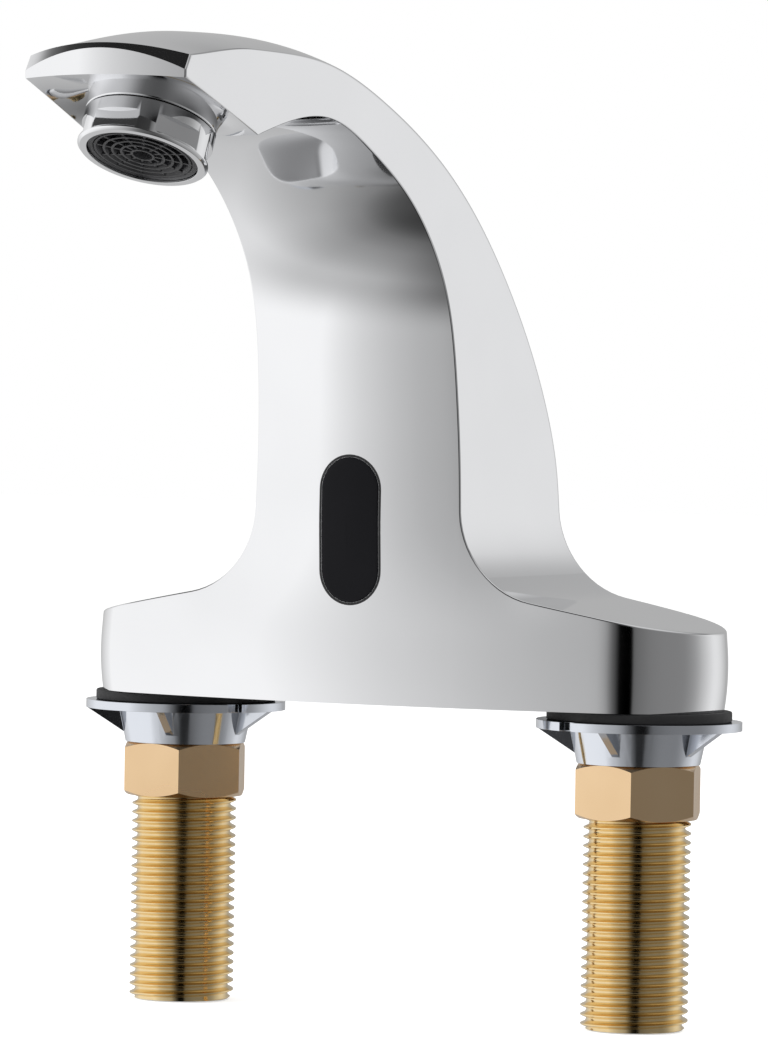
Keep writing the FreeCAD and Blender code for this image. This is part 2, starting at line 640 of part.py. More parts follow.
def make_sensor_screws():
    """Two screws through the ears into the casting's bosses."""
    screws = []
    head_y = HOUSING_FRONT_Y + FIT + EAR_THICKNESS
    for z in screw_heights():
        head = Part.makeCylinder(SCREW_HEAD_RADIUS, SCREW_HEAD_HEIGHT, Vec(0, head_y, z), Vec(0, 1, 0))
        slot = Part.makeBox(2 * SCREW_HEAD_RADIUS, SCREW_HEAD_HEIGHT / 2, SCREW_RADIUS / 2,
                            Vec(-SCREW_HEAD_RADIUS, head_y + SCREW_HEAD_HEIGHT / 2, z - SCREW_RADIUS / 4))
        stem = Part.makeCylinder(SCREW_RADIUS, SCREW_LENGTH, Vec(0, head_y, z), Vec(0, -1, 0))
        screws.append(head.fuse(stem).cut(slot))
    return Part.makeCompound(screws)


# ---- shanks and clamps --------------------------------------------------------------------
def thread_top():
    return hub_bottom() - SEAT_GAP - NUT_HEIGHT - THREAD_RUNOUT


def make_shank(x):
    """Inlet shank: threaded below, plain and slightly thinner where it enters the casting."""
    shank = revolved([
        (SHANK_BORE_RADIUS, SHANK_BOTTOM_Z), (SHANK_RADIUS - SHANK_CHAMFER, SHANK_BOTTOM_Z),
        (SHANK_RADIUS, SHANK_BOTTOM_Z + SHANK_CHAMFER), (SHANK_RADIUS, thread_top()),
        (SHANK_NECK_RADIUS, thread_top()), (SHANK_NECK_RADIUS, SHANK_TOP_Z),
        (SHANK_BORE_RADIUS, SHANK_TOP_Z),
    ])
    shank.translate(Vec(x, 0, 0))
    return shank


def gasket_bottom():
    return -SEAT_GAP - GASKET_THICKNESS


def make_gasket(x):
    return tube(GASKET_RADIUS, SHANK_RADIUS + SHANK_CLEARANCE, gasket_bottom(), -SEAT_GAP, (x, 0.0))


def hub_bottom():
    return gasket_bottom() - FLANGE_HEIGHT


def make_flange_washer(x, first_turn, notch_turn):
    """Round rim on a tapered hub, stiffened by triangular gussets, with a notch in the rim."""
    bore = SHANK_RADIUS + SHANK_CLEARANCE
    top, bottom = gasket_bottom(), hub_bottom()
    rim_bottom = top - FLANGE_RIM
    body = revolved([
        (bore, top), (FLANGE_RADIUS, top), (FLANGE_RADIUS, rim_bottom),
        (HUB_FOOT_RADIUS, rim_bottom), (HUB_RADIUS, bottom), (bore, bottom),
    ])
    half = GUSSET_THICKNESS / 2
    gussets = []
    for i in range(GUSSET_COUNT):
        wedge = polygon_face([
            (bore + FIT, -half, rim_bottom), (FLANGE_RADIUS - FIT, -half, rim_bottom),
            (HUB_RADIUS, -half, bottom + GUSSET_BOTTOM_GAP),
            (bore + FIT, -half, bottom + GUSSET_BOTTOM_GAP),
        ]).extrude(Vec(0, GUSSET_THICKNESS, 0))
        wedge.rotate(Vec(0, 0, 0), Vec(0, 0, 1), first_turn + i * 360.0 / GUSSET_COUNT)
        gussets.append(wedge)
    notch = Part.makeBox(2 * NOTCH_DEPTH, NOTCH_WIDTH, FLANGE_RIM + 2 * OVERRUN,
                         Vec(FLANGE_RADIUS - NOTCH_DEPTH, -NOTCH_WIDTH / 2, rim_bottom - OVERRUN))
    notch.rotate(Vec(0, 0, 0), Vec(0, 0, 1), notch_turn)
    washer = body.multiFuse(gussets).cut(notch)
    washer.translate(Vec(x, 0, 0))
    return washer


def make_hex_nut(x, turn):
    """Hexagon locknut with its corners trimmed by a cone at both ends."""
    top = hub_bottom() - SEAT_GAP
    corner = NUT_ACROSS_FLATS / math.sqrt(3)
    points = [(corner * math.cos(math.radians(60 * i)), corner * math.sin(math.radians(60 * i)), top)
              for i in range(6)]
    prism = polygon_face(points).extrude(Vec(0, 0, -NUT_HEIGHT))
    trim = (corner - NUT_ACROSS_FLATS / 2) * math.tan(math.radians(NUT_CORNER_CHAMFER))
    flat = NUT_ACROSS_FLATS / 2
    envelope = revolved([
        (0.0, top), (flat, top), (corner, top - trim),
        (corner, top - NUT_HEIGHT + trim), (flat, top - NUT_HEIGHT), (0.0, top - NUT_HEIGHT),
    ])
    bore = Part.makeCylinder(SHANK_RADIUS + NUT_CLEARANCE, NUT_HEIGHT + 2 * OVERRUN,
                             Vec(0, 0, top + OVERRUN), Vec(0, 0, -1))
    nut = prism.common(envelope).cut(bore)
    nut.rotate(Vec(0, 0, 0), Vec(0, 0, 1), turn)
    nut.translate(Vec(x, 0, 0))
    return nut


# ---- assembly -----------------------------------------------------------------------------
def main():
    os.makedirs("parts", exist_ok=True)
    path = waterway_path(-SHANK_SPACING / 2 + CHAMBER_RADIUS)
    outside = neck(0.0, SECTIONS[:HOLLOW_SECTION_COUNT]).fuse(base_block(0.0, 0.0))
    nodes = {
        "body": make_body(),
        "sensor_window": make_window(outside),
        "window_seal": make_window_seal(outside),
        "sensor_housing": make_sensor_housing(),
        "sensor_cover": make_sensor_cover(),
        "sensor_board": make_sensor_board(),
        "infrared_emitter": make_diode(1),
        "infrared_receiver": make_diode(-1),
        "sensor_screws": make_sensor_screws(),
        "waterway_tube": make_waterway(path),
        "tube_sleeve": make_sleeve(),
        "cable_grommet": make_grommet(),
        "outlet_adapter": make_outlet_adapter(),
        "outlet_oring": make_oring(),
        "aerator_shell": make_aerator_shell(),
        "aerator_insert": make_aerator_insert(),
        "aerator_screen": make_aerator_screen(),
        "aerator_washer": make_aerator_washer(),
    }
    turns = {"left": LEFT_TURNS, "right": RIGHT_TURNS}
    for side, x in shank_places():
        gusset_turn, notch_turn, nut_turn = turns[side]
        nodes[side + "_shank"] = make_shank(x)
        nodes[side + "_gasket"] = make_gasket(x)
        nodes[side + "_flange_washer"] = make_flange_washer(x, gusset_turn, notch_turn)
        nodes[side + "_hex_nut"] = make_hex_nut(x, nut_turn)
    for node, shape in nodes.items():
        shape.exportStep("parts/%s.step" % node)
        print(node, len(shape.Solids), "solids", round(shape.Volume, 1), "mm3")


main()
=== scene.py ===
# %% [markdown]
# This lesson dresses a chromed sensor tap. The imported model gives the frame: every piece has
# its real size and place, in metres, with the spout pointing along -Y and +Z up. Chrome shows
# the smallest dent in a mesh, so the casting is modelled again here as a smooth cage of quads,
# and the rest is turned, threaded and rounded around the same axes.

# %% Load the frame
import math

import bmesh
import bpy
import numpy as np
from mathutils import Matrix, Vector
from mathutils.bvhtree import BVHTree


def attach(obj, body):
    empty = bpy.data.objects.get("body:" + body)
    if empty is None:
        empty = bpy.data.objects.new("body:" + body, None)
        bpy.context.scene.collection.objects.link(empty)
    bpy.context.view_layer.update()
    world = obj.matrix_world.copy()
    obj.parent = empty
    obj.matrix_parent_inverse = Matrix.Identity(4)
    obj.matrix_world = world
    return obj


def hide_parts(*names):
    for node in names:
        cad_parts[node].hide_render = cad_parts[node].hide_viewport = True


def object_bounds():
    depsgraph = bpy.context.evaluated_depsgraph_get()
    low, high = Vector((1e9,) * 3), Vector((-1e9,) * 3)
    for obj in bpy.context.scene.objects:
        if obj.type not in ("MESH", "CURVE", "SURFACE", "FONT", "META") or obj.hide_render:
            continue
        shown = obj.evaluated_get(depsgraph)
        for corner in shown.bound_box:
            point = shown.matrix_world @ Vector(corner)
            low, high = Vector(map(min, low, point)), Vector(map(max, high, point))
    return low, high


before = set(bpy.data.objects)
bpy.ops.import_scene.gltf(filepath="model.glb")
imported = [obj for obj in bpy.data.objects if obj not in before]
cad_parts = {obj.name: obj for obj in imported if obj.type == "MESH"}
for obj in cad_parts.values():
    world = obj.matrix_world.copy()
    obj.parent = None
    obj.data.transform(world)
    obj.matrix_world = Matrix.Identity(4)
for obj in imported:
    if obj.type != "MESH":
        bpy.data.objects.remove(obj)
cad_low, cad_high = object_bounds()
MM = 0.001

# %% [markdown]
# Every piece ends in the same few steps: merge doubles, turn the faces outwards, shade them
# smooth, hang the piece on the body that carries it, and hide the CAD nodes it stands for. One
# helper does that, so the cells below only shape things.


# %% From a bmesh to a finished piece
PIECE_WELD = 0.004  # doubles closer than this are merged, in millimetres


def finish_piece(name, bm, material, body, stands_for=(), sharp=None):
    bmesh.ops.remove_doubles(bm, verts=bm.verts, dist=PIECE_WELD * MM)
    bmesh.ops.recalc_face_normals(bm, faces=bm.faces)
    mesh = bpy.data.meshes.new(name)
    bm.to_mesh(mesh)
    bm.free()
    mesh.polygons.foreach_set("use_smooth", [True] * len(mesh.polygons))
    if sharp:
        mesh.set_sharp_from_angle(angle=math.radians(sharp))
    piece = bpy.data.objects.new(name, mesh)
    bpy.context.scene.collection.objects.link(piece)
    mesh.materials.append(material)
    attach(piece, body)
    if stands_for:
        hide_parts(*stands_for)
    print(name, len(mesh.polygons), "faces on", body)
    return piece


# %% [markdown]
# Metal finishes. Real chrome is a nearly perfect mirror, but never an even one: polishing
# leaves faint waves and the plating is a little softer in places. A low, slow noise drives
# roughness and colour, and a tiny bump breaks up the reflections. Turned brass also keeps
# the fine rings of its cutting tool, and sawn or tumbled brass scatters light much more.


# %% Node helpers
def grey(value):
    return (value, value, value, 1.0)


def feed(tree, socket, value):
    """Link an output to a socket, or set the socket to a number or colour."""
    if isinstance(value, bpy.types.NodeSocket):
        tree.links.new(value, socket)
    else:
        socket.default_value = value


def blend(tree, kind, fac, first, second):
    node = tree.nodes.new("ShaderNodeMix")
    node.data_type, node.blend_type = "RGBA", kind
    for socket, value in (("Factor", fac), ("A", first), ("B", second)):
        feed(tree, node.inputs[socket], value)
    return node.outputs["Result"]


def remap(tree, value, low, high, to_low=0.0, to_high=1.0, kind="LINEAR"):
    """Map a value from one range onto another."""
    node = tree.nodes.new("ShaderNodeMapRange")
    node.interpolation_type = kind
    for socket, number in zip(node.inputs, (value, low, high, to_low, to_high)):
        feed(tree, socket, number)
    return node.outputs["Result"]


def maths(tree, operation, *values):
    node = tree.nodes.new("ShaderNodeMath")
    node.operation = operation
    for socket, value in zip(node.inputs, values):
        feed(tree, socket, value)
    return node.outputs["Value"]


# %% Material helpers
NOISE_LOW, NOISE_HIGH = 0.3, 0.7  # between these lies nearly all of a noise
DRIFT_SCALE, DRIFT_DETAIL = 45.0, 2.0  # the slow drift of a metal's colour and polish
METAL_DETAIL, METAL_RELIEF = 4.0, 0.4  # the fine grain, as noise detail and bump strength
MOULDED_DETAIL, MOULDED_RELIEF = 5.0, 0.5


def new_material(name, colour, metallic, roughness, **sockets):
    material = bpy.data.materials.new(name)
    material.use_nodes = True
    shader = material.node_tree.nodes["Principled BSDF"]
    shader.inputs["Base Color"].default_value = (*colour, 1.0)
    shader.inputs["Metallic"].default_value = metallic
    shader.inputs["Roughness"].default_value = roughness
    for socket, value in sockets.items():
        shader.inputs[socket.replace("_", " ")].default_value = value
    return material, shader


def noise_on(material, scale, detail, stretch=(1.0, 1.0, 1.0)):
    """Noise on object coordinates; scale is in features per metre."""
    tree = material.node_tree
    place = tree.nodes.new("ShaderNodeTexCoord")
    mapping = tree.nodes.new("ShaderNodeMapping")
    mapping.inputs["Scale"].default_value = stretch
    noise = tree.nodes.new("ShaderNodeTexNoise")
    noise.inputs["Scale"].default_value = scale
    noise.inputs["Detail"].default_value = detail
    tree.links.new(place.outputs["Object"], mapping.inputs["Vector"])
    tree.links.new(mapping.outputs["Vector"], noise.inputs["Vector"])
    return noise.outputs["Fac"]


def vary(material, shader, fac, socket, low, high):
    """Let a texture move a colour or a number of the shader between two values."""
    tree = material.node_tree
    if isinstance(low, tuple):
        varied = blend(tree, "MIX", fac, (*low, 1.0), (*high, 1.0))
    else:
        varied = remap(tree, fac, NOISE_LOW, NOISE_HIGH, low, high)
    tree.links.new(varied, shader.inputs[socket])


def emboss(material, shader, fac, strength, distance):
    tree = material.node_tree
    bump = tree.nodes.new("ShaderNodeBump")
    bump.inputs["Strength"].default_value = strength
    bump.inputs["Distance"].default_value = distance
    tree.links.new(fac, bump.inputs["Height"])
    tree.links.new(bump.outputs["Normal"], shader.inputs["Normal"])


def metal(name, colour, worn, roughness, grain, grain_depth, stretch=(1, 1, 1)):
    """Metal whose colour and polish drift slowly, under a fine grain."""
    material, shader = new_material(name, colour, 1.0, roughness[0])
    slow = noise_on(material, DRIFT_SCALE, DRIFT_DETAIL)
    vary(material, shader, slow, "Base Color", colour, worn)
    vary(material, shader, slow, "Roughness", roughness[0], roughness[1])
    fine = noise_on(material, grain, METAL_DETAIL, stretch)
    emboss(material, shader, fine, METAL_RELIEF, grain_depth)
    return material


def plain(name, colour, light, roughness, grain, grain_depth, **sockets):
    """Rubber or plastic: a mottled dark colour under a fine moulded grain."""
    material, shader = new_material(name, colour, 0.0, roughness[0], **sockets)
    fac = noise_on(material, grain, MOULDED_DETAIL)
    vary(material, shader, fac, "Base Color", colour, light)
    vary(material, shader, fac, "Roughness", roughness[0], roughness[1])
    emboss(material, shader, fac, MOULDED_RELIEF, grain_depth)
    return material


# %% The finishes: name, two colours, two roughnesses, grain per metre and its depth in metres
chrome = metal("polished_chrome", (0.93, 0.935, 0.95), (0.88, 0.885, 0.90), (0.035, 0.06),
               300.0, 0.000001)
clamp_chrome = metal("clamp_chrome", (0.80, 0.83, 0.88), (0.70, 0.73, 0.80), (0.08, 0.16),
                     900.0, 0.00001)
turned_brass = metal("turned_brass", (0.90, 0.72, 0.42), (0.84, 0.63, 0.32), (0.10, 0.18),
                     2500.0, 0.00001, (1.0, 1.0, 6.0))
raw_brass = metal("raw_brass", (0.94, 0.70, 0.44), (0.80, 0.54, 0.30), (0.20, 0.30),
                  1800.0, 0.00003)
steel = metal("stainless_steel", (0.62, 0.62, 0.61), (0.52, 0.52, 0.51), (0.22, 0.34),
              1500.0, 0.00001, (1.0, 8.0, 1.0))
rubber = plain("black_rubber", (0.012, 0.012, 0.013), (0.022, 0.022, 0.023), (0.55, 0.7),
               1200.0, 0.00004)
black_plastic = plain("black_plastic", (0.018, 0.018, 0.02), (0.03, 0.03, 0.033), (0.3, 0.42),
                      1500.0, 0.00001)
lens = plain("infrared_window", (0.0035, 0.0035, 0.0045), (0.006, 0.006, 0.0075), (0.05, 0.08),
             60.0, 0.000001, Specular_IOR_Level=0.12)
diode = plain("diode_plastic", (0.03, 0.035, 0.06), (0.05, 0.055, 0.09), (0.08, 0.14),
              400.0, 0.000002)
board = plain("board_laminate", (0.01, 0.07, 0.035), (0.02, 0.12, 0.06), (0.35, 0.5),
              900.0, 0.00002)
print(len(bpy.data.materials), "materials")

# %% [markdown]
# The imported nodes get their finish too, also those that a smoother piece stands for below: the
# inner pieces, such as the board, the waterway and the O-ring, show when the tap is opened up.

# %% Dress the CAD nodes
FINISH_OF_NODES = {
    chrome: ("body", "aerator_shell"),
    clamp_chrome: ("left_flange_washer", "right_flange_washer"),
    turned_brass: ("left_shank", "right_shank", "outlet_adapter"),
    raw_brass: ("left_hex_nut", "right_hex_nut"),
    steel: ("sensor_screws", "waterway_tube", "aerator_screen"),
    rubber: ("window_seal", "tube_sleeve", "cable_grommet", "outlet_oring", "aerator_washer",
             "left_gasket", "right_gasket"),
    black_plastic: ("sensor_housing", "sensor_cover", "aerator_insert"),
    lens: ("sensor_window",),
    diode: ("infrared_emitter", "infrared_receiver"),
    board: ("sensor_board",),
}
for finish, names in FINISH_OF_NODES.items():
    for name in names:
        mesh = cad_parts[name].data
        mesh.materials.clear()
        mesh.materials.append(finish)
print("dressed", sum(len(names) for names in FINISH_OF_NODES.values()), "nodes")

# %% [markdown]
# The casting is one skin: a low oval base whose front and back walls run straight up into the
# neck, and a spout that leans forward over the basin. A boolean of simple solids would leave
# creases that chrome shows at once, so the skin is laid out as grids instead. Each grid comes
# from one bmesh operator and is then pulled onto the same few curves: the wall of the base,
# the outline seen from the front, and the sections of the neck. Edges are rounded by narrow
# strips between the grids, so the radius can change from crisp at the front to soft behind.

# %% Sizes of the casting, in millimetres
END_CENTRE, END_RADIUS = 47.0, 20.5  # round ends of the base
FRONT_DEPTH, BACK_DEPTH = 25.6, 25.0  # middle of the base's walls
END_HEIGHT, TOP_SLOPE = 15.2, math.tan(math.radians(10.5))
BULGE, BULGE_HEIGHT = 0.6, 8.0  # the base wall is slightly barrelled
FOOT_RADIUS, NECK_LEAN = 18.0, math.radians(2.6)
NECK_HALF, NECK_START = 22.75, 37.65  # where the foot's hollow meets the neck's side
WALL = 2.6
# front y and z, back y and z, half width, crown of the front, crown of the back
SECTIONS = np.array((
    (-22.45, 37.65, 20.2, 37.65, 22.75, 3.15, 3.3),
    (-22.4, 46.0, 19.2, 46.0, 22.5, 3.2, 3.4),
    (-23.2, 60.0, 13.4, 61.0, 22.1, 3.2, 3.6),
    (-25.6, 75.0, 3.2, 76.5, 21.7, 3.1, 3.8),
    (-31.9, 88.0, -11.5, 92.6, 21.2, 2.6, 4.0),
    (-41.7, 98.0, -28.0, 105.0, 20.6, 2.0, 4.2),
    (-55.0, 106.3, -48.0, 115.0, 19.6, 1.2, 4.3),
    (-70.0, 111.7, -68.5, 121.4, 18.9, 0.6, 4.2),
    (-85.0, 110.3, -85.5, 123.0, 18.3, 0.3, 3.9),
    (-95.0, 107.6, -97.0, 123.2, 17.9, 0.2, 3.5),
))
DISH_RISE, DISH_BACK, DISH_POWER = 9.0, 0.6, 2.6  # hollow under the spout's head
TIP_HALF = 17.0
# lines across the tip: y and z at the middle, and how they change to the corner
TIP_LOWER = ((-122.5, 117.6), (2.4, -0.6))
TIP_UPPER = ((-122.5, 122.4), (2.4, -4.0))
TIP_TOP = ((-121.9, 123.4), (3.5, -2.2))
print(len(SECTIONS), "sections, tip reaches", -TIP_LOWER[0][0], "mm")


# %% [markdown]
# Sections are joined by a natural cubic spline, which bends without jumps in curvature. On a
# mirror a jump in curvature is as plain as a scratch.


# %% Spline through the sections
def natural_spline(rows):
    middle = (rows[:, :2] + rows[:, 2:4]) / 2
    knots = np.concatenate(([0.0], np.cumsum(np.linalg.norm(np.diff(middle, axis=0), axis=1))))
    gaps = np.diff(knots)
    slopes = np.diff(rows, axis=0) / gaps[:, None]
    count = len(rows)
    system = np.eye(count)
    right = np.zeros_like(rows)
    for i in range(1, count - 1):
        system[i, i - 1:i + 2] = gaps[i - 1], 2 * (gaps[i - 1] + gaps[i]), gaps[i]
        right[i] = 6 * (slopes[i] - slopes[i - 1])
    curve = np.linalg.solve(system, right)

    def at(u):
        i = min(max(int(np.searchsorted(knots, u, side="right")) - 1, 0), count - 2)
        h, a, b = gaps[i], knots[i + 1] - u, u - knots[i]
        return (curve[i] * a ** 3 + curve[i + 1] * b ** 3) / (6 * h) + \
            (rows[i] / h - curve[i] * h / 6) * a + (rows[i + 1] / h - curve[i + 1] * h / 6) * b
    return at, knots


section_at, SECTION_KNOTS = natural_spline(SECTIONS)
FIRST_STEP = 0.1
SLOPE_AT_START = (section_at(FIRST_STEP) - section_at(0.0)) / FIRST_STEP
print("neck and spout:", round(SECTION_KNOTS[-1], 1), "mm along the middle")


# %% [markdown]
# The base is an oval in plan: two round ends joined by long, flat arcs. Its wall is drawn in a
# little at the bottom and the top, as a mould needs it, and rises into the neck in the middle,
# where the wall's arc fades into the crown of the neck's front or back.

# %% Wall of the base
STRAIGHT_FROM = 1.5  # in bulge heights: above this the wall is straight
CROWN_LIMIT = 1.2  # the neck's crown levels off outside its sides
FADE_LOW = 14.0  # height at which the wall starts to turn into the neck
FADE_OUT, FADE_WIDTH = 32.0, 18.0  # and where, along x, that turning ends


def smoothstep(value):
    value = min(max(value, 0.0), 1.0)
    return value * value * (3 - 2 * value)


def draw_in(z):
    """How far the base wall lies inside its widest line at a height."""
    straight = STRAIGHT_FROM * BULGE_HEIGHT
    square = min(z, straight) - BULGE_HEIGHT
    lean = 2 * BULGE * (straight - BULGE_HEIGHT) / BULGE_HEIGHT ** 2
    return BULGE * (square / BULGE_HEIGHT) ** 2 + lean * max(z - straight, 0.0)


def oval_arc(depth, radius):
    """Radius of the long arc in the base's plan, and the x where the round end takes over."""
    big = (END_CENTRE ** 2 + depth ** 2 - radius ** 2) / (2 * (depth - radius))
    return big, END_CENTRE * (1 + radius / (big - radius))


def face_y(side, x, z, inset):
    """Depth of the front (side -1) or back (side 1) skin, from the base wall to the neck."""
    depth = (FRONT_DEPTH if side < 0 else BACK_DEPTH) - inset
    big, _ = oval_arc(depth, END_RADIUS - inset)
    wall = depth - big + math.sqrt(big ** 2 - x ** 2) - draw_in(z)
    start = 0 if side < 0 else 2  # column of this side's y, with its z after it
    lean = SLOPE_AT_START[start] / SLOPE_AT_START[start + 1]
    edge = side * (SECTIONS[0][start] + lean * (z - NECK_START))
    crown = SECTIONS[0][5 if side < 0 else 6]
    reach = abs(x) / (NECK_HALF - inset)
    if reach > 1:
        reach = math.sqrt(1 + CROWN_LIMIT * math.tanh((reach ** 2 - 1) / CROWN_LIMIT))
    neck = edge - inset + crown * (1 - reach ** 2)
    share = smoothstep((z - FADE_LOW) / (NECK_START - FADE_LOW))
    share *= 1 - smoothstep((abs(x) - FADE_OUT) / FADE_WIDTH)
    return side * (wall + (neck - wall) * share)


def top_height(x, inset):
    return END_HEIGHT - inset + TOP_SLOPE * (END_CENTRE + END_RADIUS - x)


print("base is", 2 * (END_CENTRE + END_RADIUS), "mm long,", round(top_height(0.0, 0.0), 1),
      "mm high if its top ran on to the middle")


# %% [markdown]
# Seen from the front, the outline runs from the neck's side round the hollow of the foot, down
# the sloping top of the base and round its end. Each station on it gives a place on the front
# skin, one on the back skin, and the two rounded edges between them and the side.


# %% Stations along the outline of the base
OUTLINE_STEPS = (14, 8, 14)  # round the foot, down the top, round the end


def outline_stations(inset, arc_steps, slope_steps, end_steps):
    """(kind, x, z, turn) for each station; turn points into the skin, or round the end."""
    half = NECK_HALF - inset
    radius = FOOT_RADIUS + inset
    centre_x = half + radius * math.cos(NECK_LEAN)
    lowest = math.atan(TOP_SLOPE)
    centre_z = NECK_START + radius * math.sin(NECK_LEAN)
    stations = []
    for i in range(arc_steps + 1):
        turn = math.pi + NECK_LEAN + (math.pi / 2 - lowest - NECK_LEAN) * i / arc_steps
        away = math.pi * (1 + i / arc_steps / 2)
        x, z = centre_x + radius * math.cos(turn), centre_z + radius * math.sin(turn)
        stations.append(("foot", x, z, away))
    end_radius = END_RADIUS - inset
    _, end_x = oval_arc(FRONT_DEPTH - inset, end_radius)
    start_x = stations[-1][1]
    for i in range(1, slope_steps):
        x = start_x + (end_x - start_x) * i / slope_steps
        stations.append(("slope", x, top_height(x, inset), 1.5 * math.pi))
    first = math.acos((end_x - END_CENTRE) / end_radius)
    for i in range(end_steps + 1):
        turn = first * (1 - i / end_steps)
        x = END_CENTRE + end_radius * math.cos(turn)
        stations.append(("end", x, top_height(x, inset), turn))
    return stations


def wall_point(side, station, z, inset, ring=0.0):
    """Point of the base wall under a station; ring draws the plan outline in."""
    kind, x, _, turn = station
    if kind != "end":
        return Vector((x, face_y(side, x, z, inset) - side * ring, z))
    radius = END_RADIUS - inset - draw_in(z) - ring
    if side > 0:
        _, front_x = oval_arc(FRONT_DEPTH - inset, END_RADIUS - inset)
        _, back_x = oval_arc(BACK_DEPTH - inset, END_RADIUS - inset)
        first = math.acos((front_x - END_CENTRE) / (END_RADIUS - inset))
        turn *= math.acos((back_x - END_CENTRE) / (END_RADIUS - inset)) / first
    return Vector((END_CENTRE + radius * math.cos(turn), side * radius * math.sin(turn), z))


print("stations along the outline:", len(outline_stations(0.0, *OUTLINE_STEPS)))

# %% [markdown]
# Above the foot the skin follows the sections. Each has a front and a back edge, a width, and
# two crowns: how far the skin bulges past the edges in the middle. Past the last section the
# spout is drawn out to its tip, and its underside is dished round the outlet.

# %% Points of the neck, the spout and its tip
def neck_point(side, u, share, inset):
    """Point of the front or back skin; share is 0 on the middle plane and 1 at the edge."""
    front_y, front_z, back_y, back_z, half, front_crown, back_crown = section_at(u)
    front, back = Vector((0, front_y, front_z)), Vector((0, back_y, back_z))
    across = (back - front).normalized() * side
    start, crown = (front, front_crown) if side < 0 else (back, back_crown)
    point = start + across * (crown * (1 - share ** 2) - inset)
    point.x = (half - inset) * share
    return point


def tip_point(line, share):
    (y, z), (y_change, z_change) = line
    square = share ** 2
    return Vector((TIP_HALF * share, y + y_change * square, z + z_change * square))


def spout_point(side, v, share):
    """Between the last section (v 0) and the tip (v 1): dished below, drawn out smoothly above."""
    last = SECTION_KNOTS[-1]
    start = neck_point(side, last, share, 0.0)
    if side < 0:
        point = start.lerp(tip_point(TIP_LOWER, share), v)
        point.z += DISH_RISE * (1 - v) * smoothstep(v / DISH_BACK) * (1 - share ** DISH_POWER)
        return point
    end = tip_point(TIP_TOP, share)
    chord = end - start
    leaving = (start - neck_point(side, last - 1.0, share, 0.0)) * chord.length
    h00, h10 = 2 * v ** 3 - 3 * v ** 2 + 1, v ** 3 - 2 * v ** 2 + v
    h01, h11 = 3 * v ** 2 - 2 * v ** 3, v ** 3 - v ** 2
    return start * h00 + leaving * h10 + end * h01 + chord * h11


print("the spout's end is", 2 * TIP_HALF, "mm wide and its hollow", DISH_RISE, "mm deep")

# %% [markdown]
# The grids themselves. Each is made flat by the operator, and its vertices are then pulled to
# their places. Neighbouring grids share their border points, so one merge welds the skin.

# %% Grids, bends and edge radii
FRONT_EDGE, BACK_EDGE, BASE_EDGE = 0.35, 1.3, 0.5  # radius of the skin's edges
STRIP_STEPS = 6
TIP_STEPS, TIP_FACE_STEPS, TIP_ROWS = 8, 3, 20
SHARPEN_FROM = 0.375  # share of the neck where its back edge tightens


def lay_grid(bm, columns, rows, place):
    """A grid whose vertex (i, j) lies at place(i, j), in millimetres."""
    made = bmesh.ops.create_grid(bm, x_segments=columns, y_segments=rows, size=1.0)["verts"]
    for vertex in made:
        i = round((vertex.co.x + 1) / 2 * columns)
        j = round((vertex.co.y + 1) / 2 * rows)
        vertex.co = place(i, j) * MM


def bend(start, corner, end, t):
    """Rounded edge: a curve from start to end that is drawn towards the corner."""
    return start * (1 - t) ** 2 + corner * (2 * t * (1 - t)) + end * t ** 2


def neck_radius(side, u):
    """Edge radius along the neck; both edges sharpen towards the tip."""
    if side < 0:
        return FRONT_EDGE
    along = (u / SECTION_KNOTS[-1] - SHARPEN_FROM) / (1 - SHARPEN_FROM)
    return BACK_EDGE + (FRONT_EDGE - BACK_EDGE) * smoothstep(along)


def base_radius(side, share):
    start = neck_radius(side, 0.0)
    return start + (BASE_EDGE - start) * smoothstep(share)


print("edges are", FRONT_EDGE, "mm round in front and", BACK_EDGE, "mm behind")

# %% [markdown]
# A rounded edge needs three points at each place: where the skin stops, the corner that it
# would have, and where the side face starts. They are worked out once for the base and once
# for the neck. Five grids in front, the same five behind and two between them then make one
# half of the skin, and its mirror image makes the other.


# %% Corners, and the skin between them
def base_corners(side, stations, inset):
    """Where the wall stops, its corner, and where the top or side starts, for each station."""
    corners = []
    for j, station in enumerate(stations):
        kind, x, z, turn = station
        radius = base_radius(side, j / (len(stations) - 1))
        inner = wall_point(side, station, z, inset, radius)
        if kind == "end":
            low = (kind, x, z - radius, turn)
            inner.z = top_height(inner.x, inset)
        else:
            low = (kind, x + radius * math.cos(turn), z + radius * math.sin(turn), turn)
        corners.append((low, wall_point(side, station, z, inset), inner))
    return corners


def neck_corners(side, rows, last, inset):
    """The same up the neck: place along it, reach of the skin, corner, start of the side."""
    corners = []
    for r in range(rows + 1):
        u = last * r / rows
        radius = neck_radius(side, u)
        half = section_at(u)[4] - inset
        edge = neck_point(side, u, 1.0, inset)
        across = (neck_point(-side, u, 1.0, inset) - edge).normalized()
        corners.append((u, 1 - radius / half, edge, edge + across * radius))
    return corners


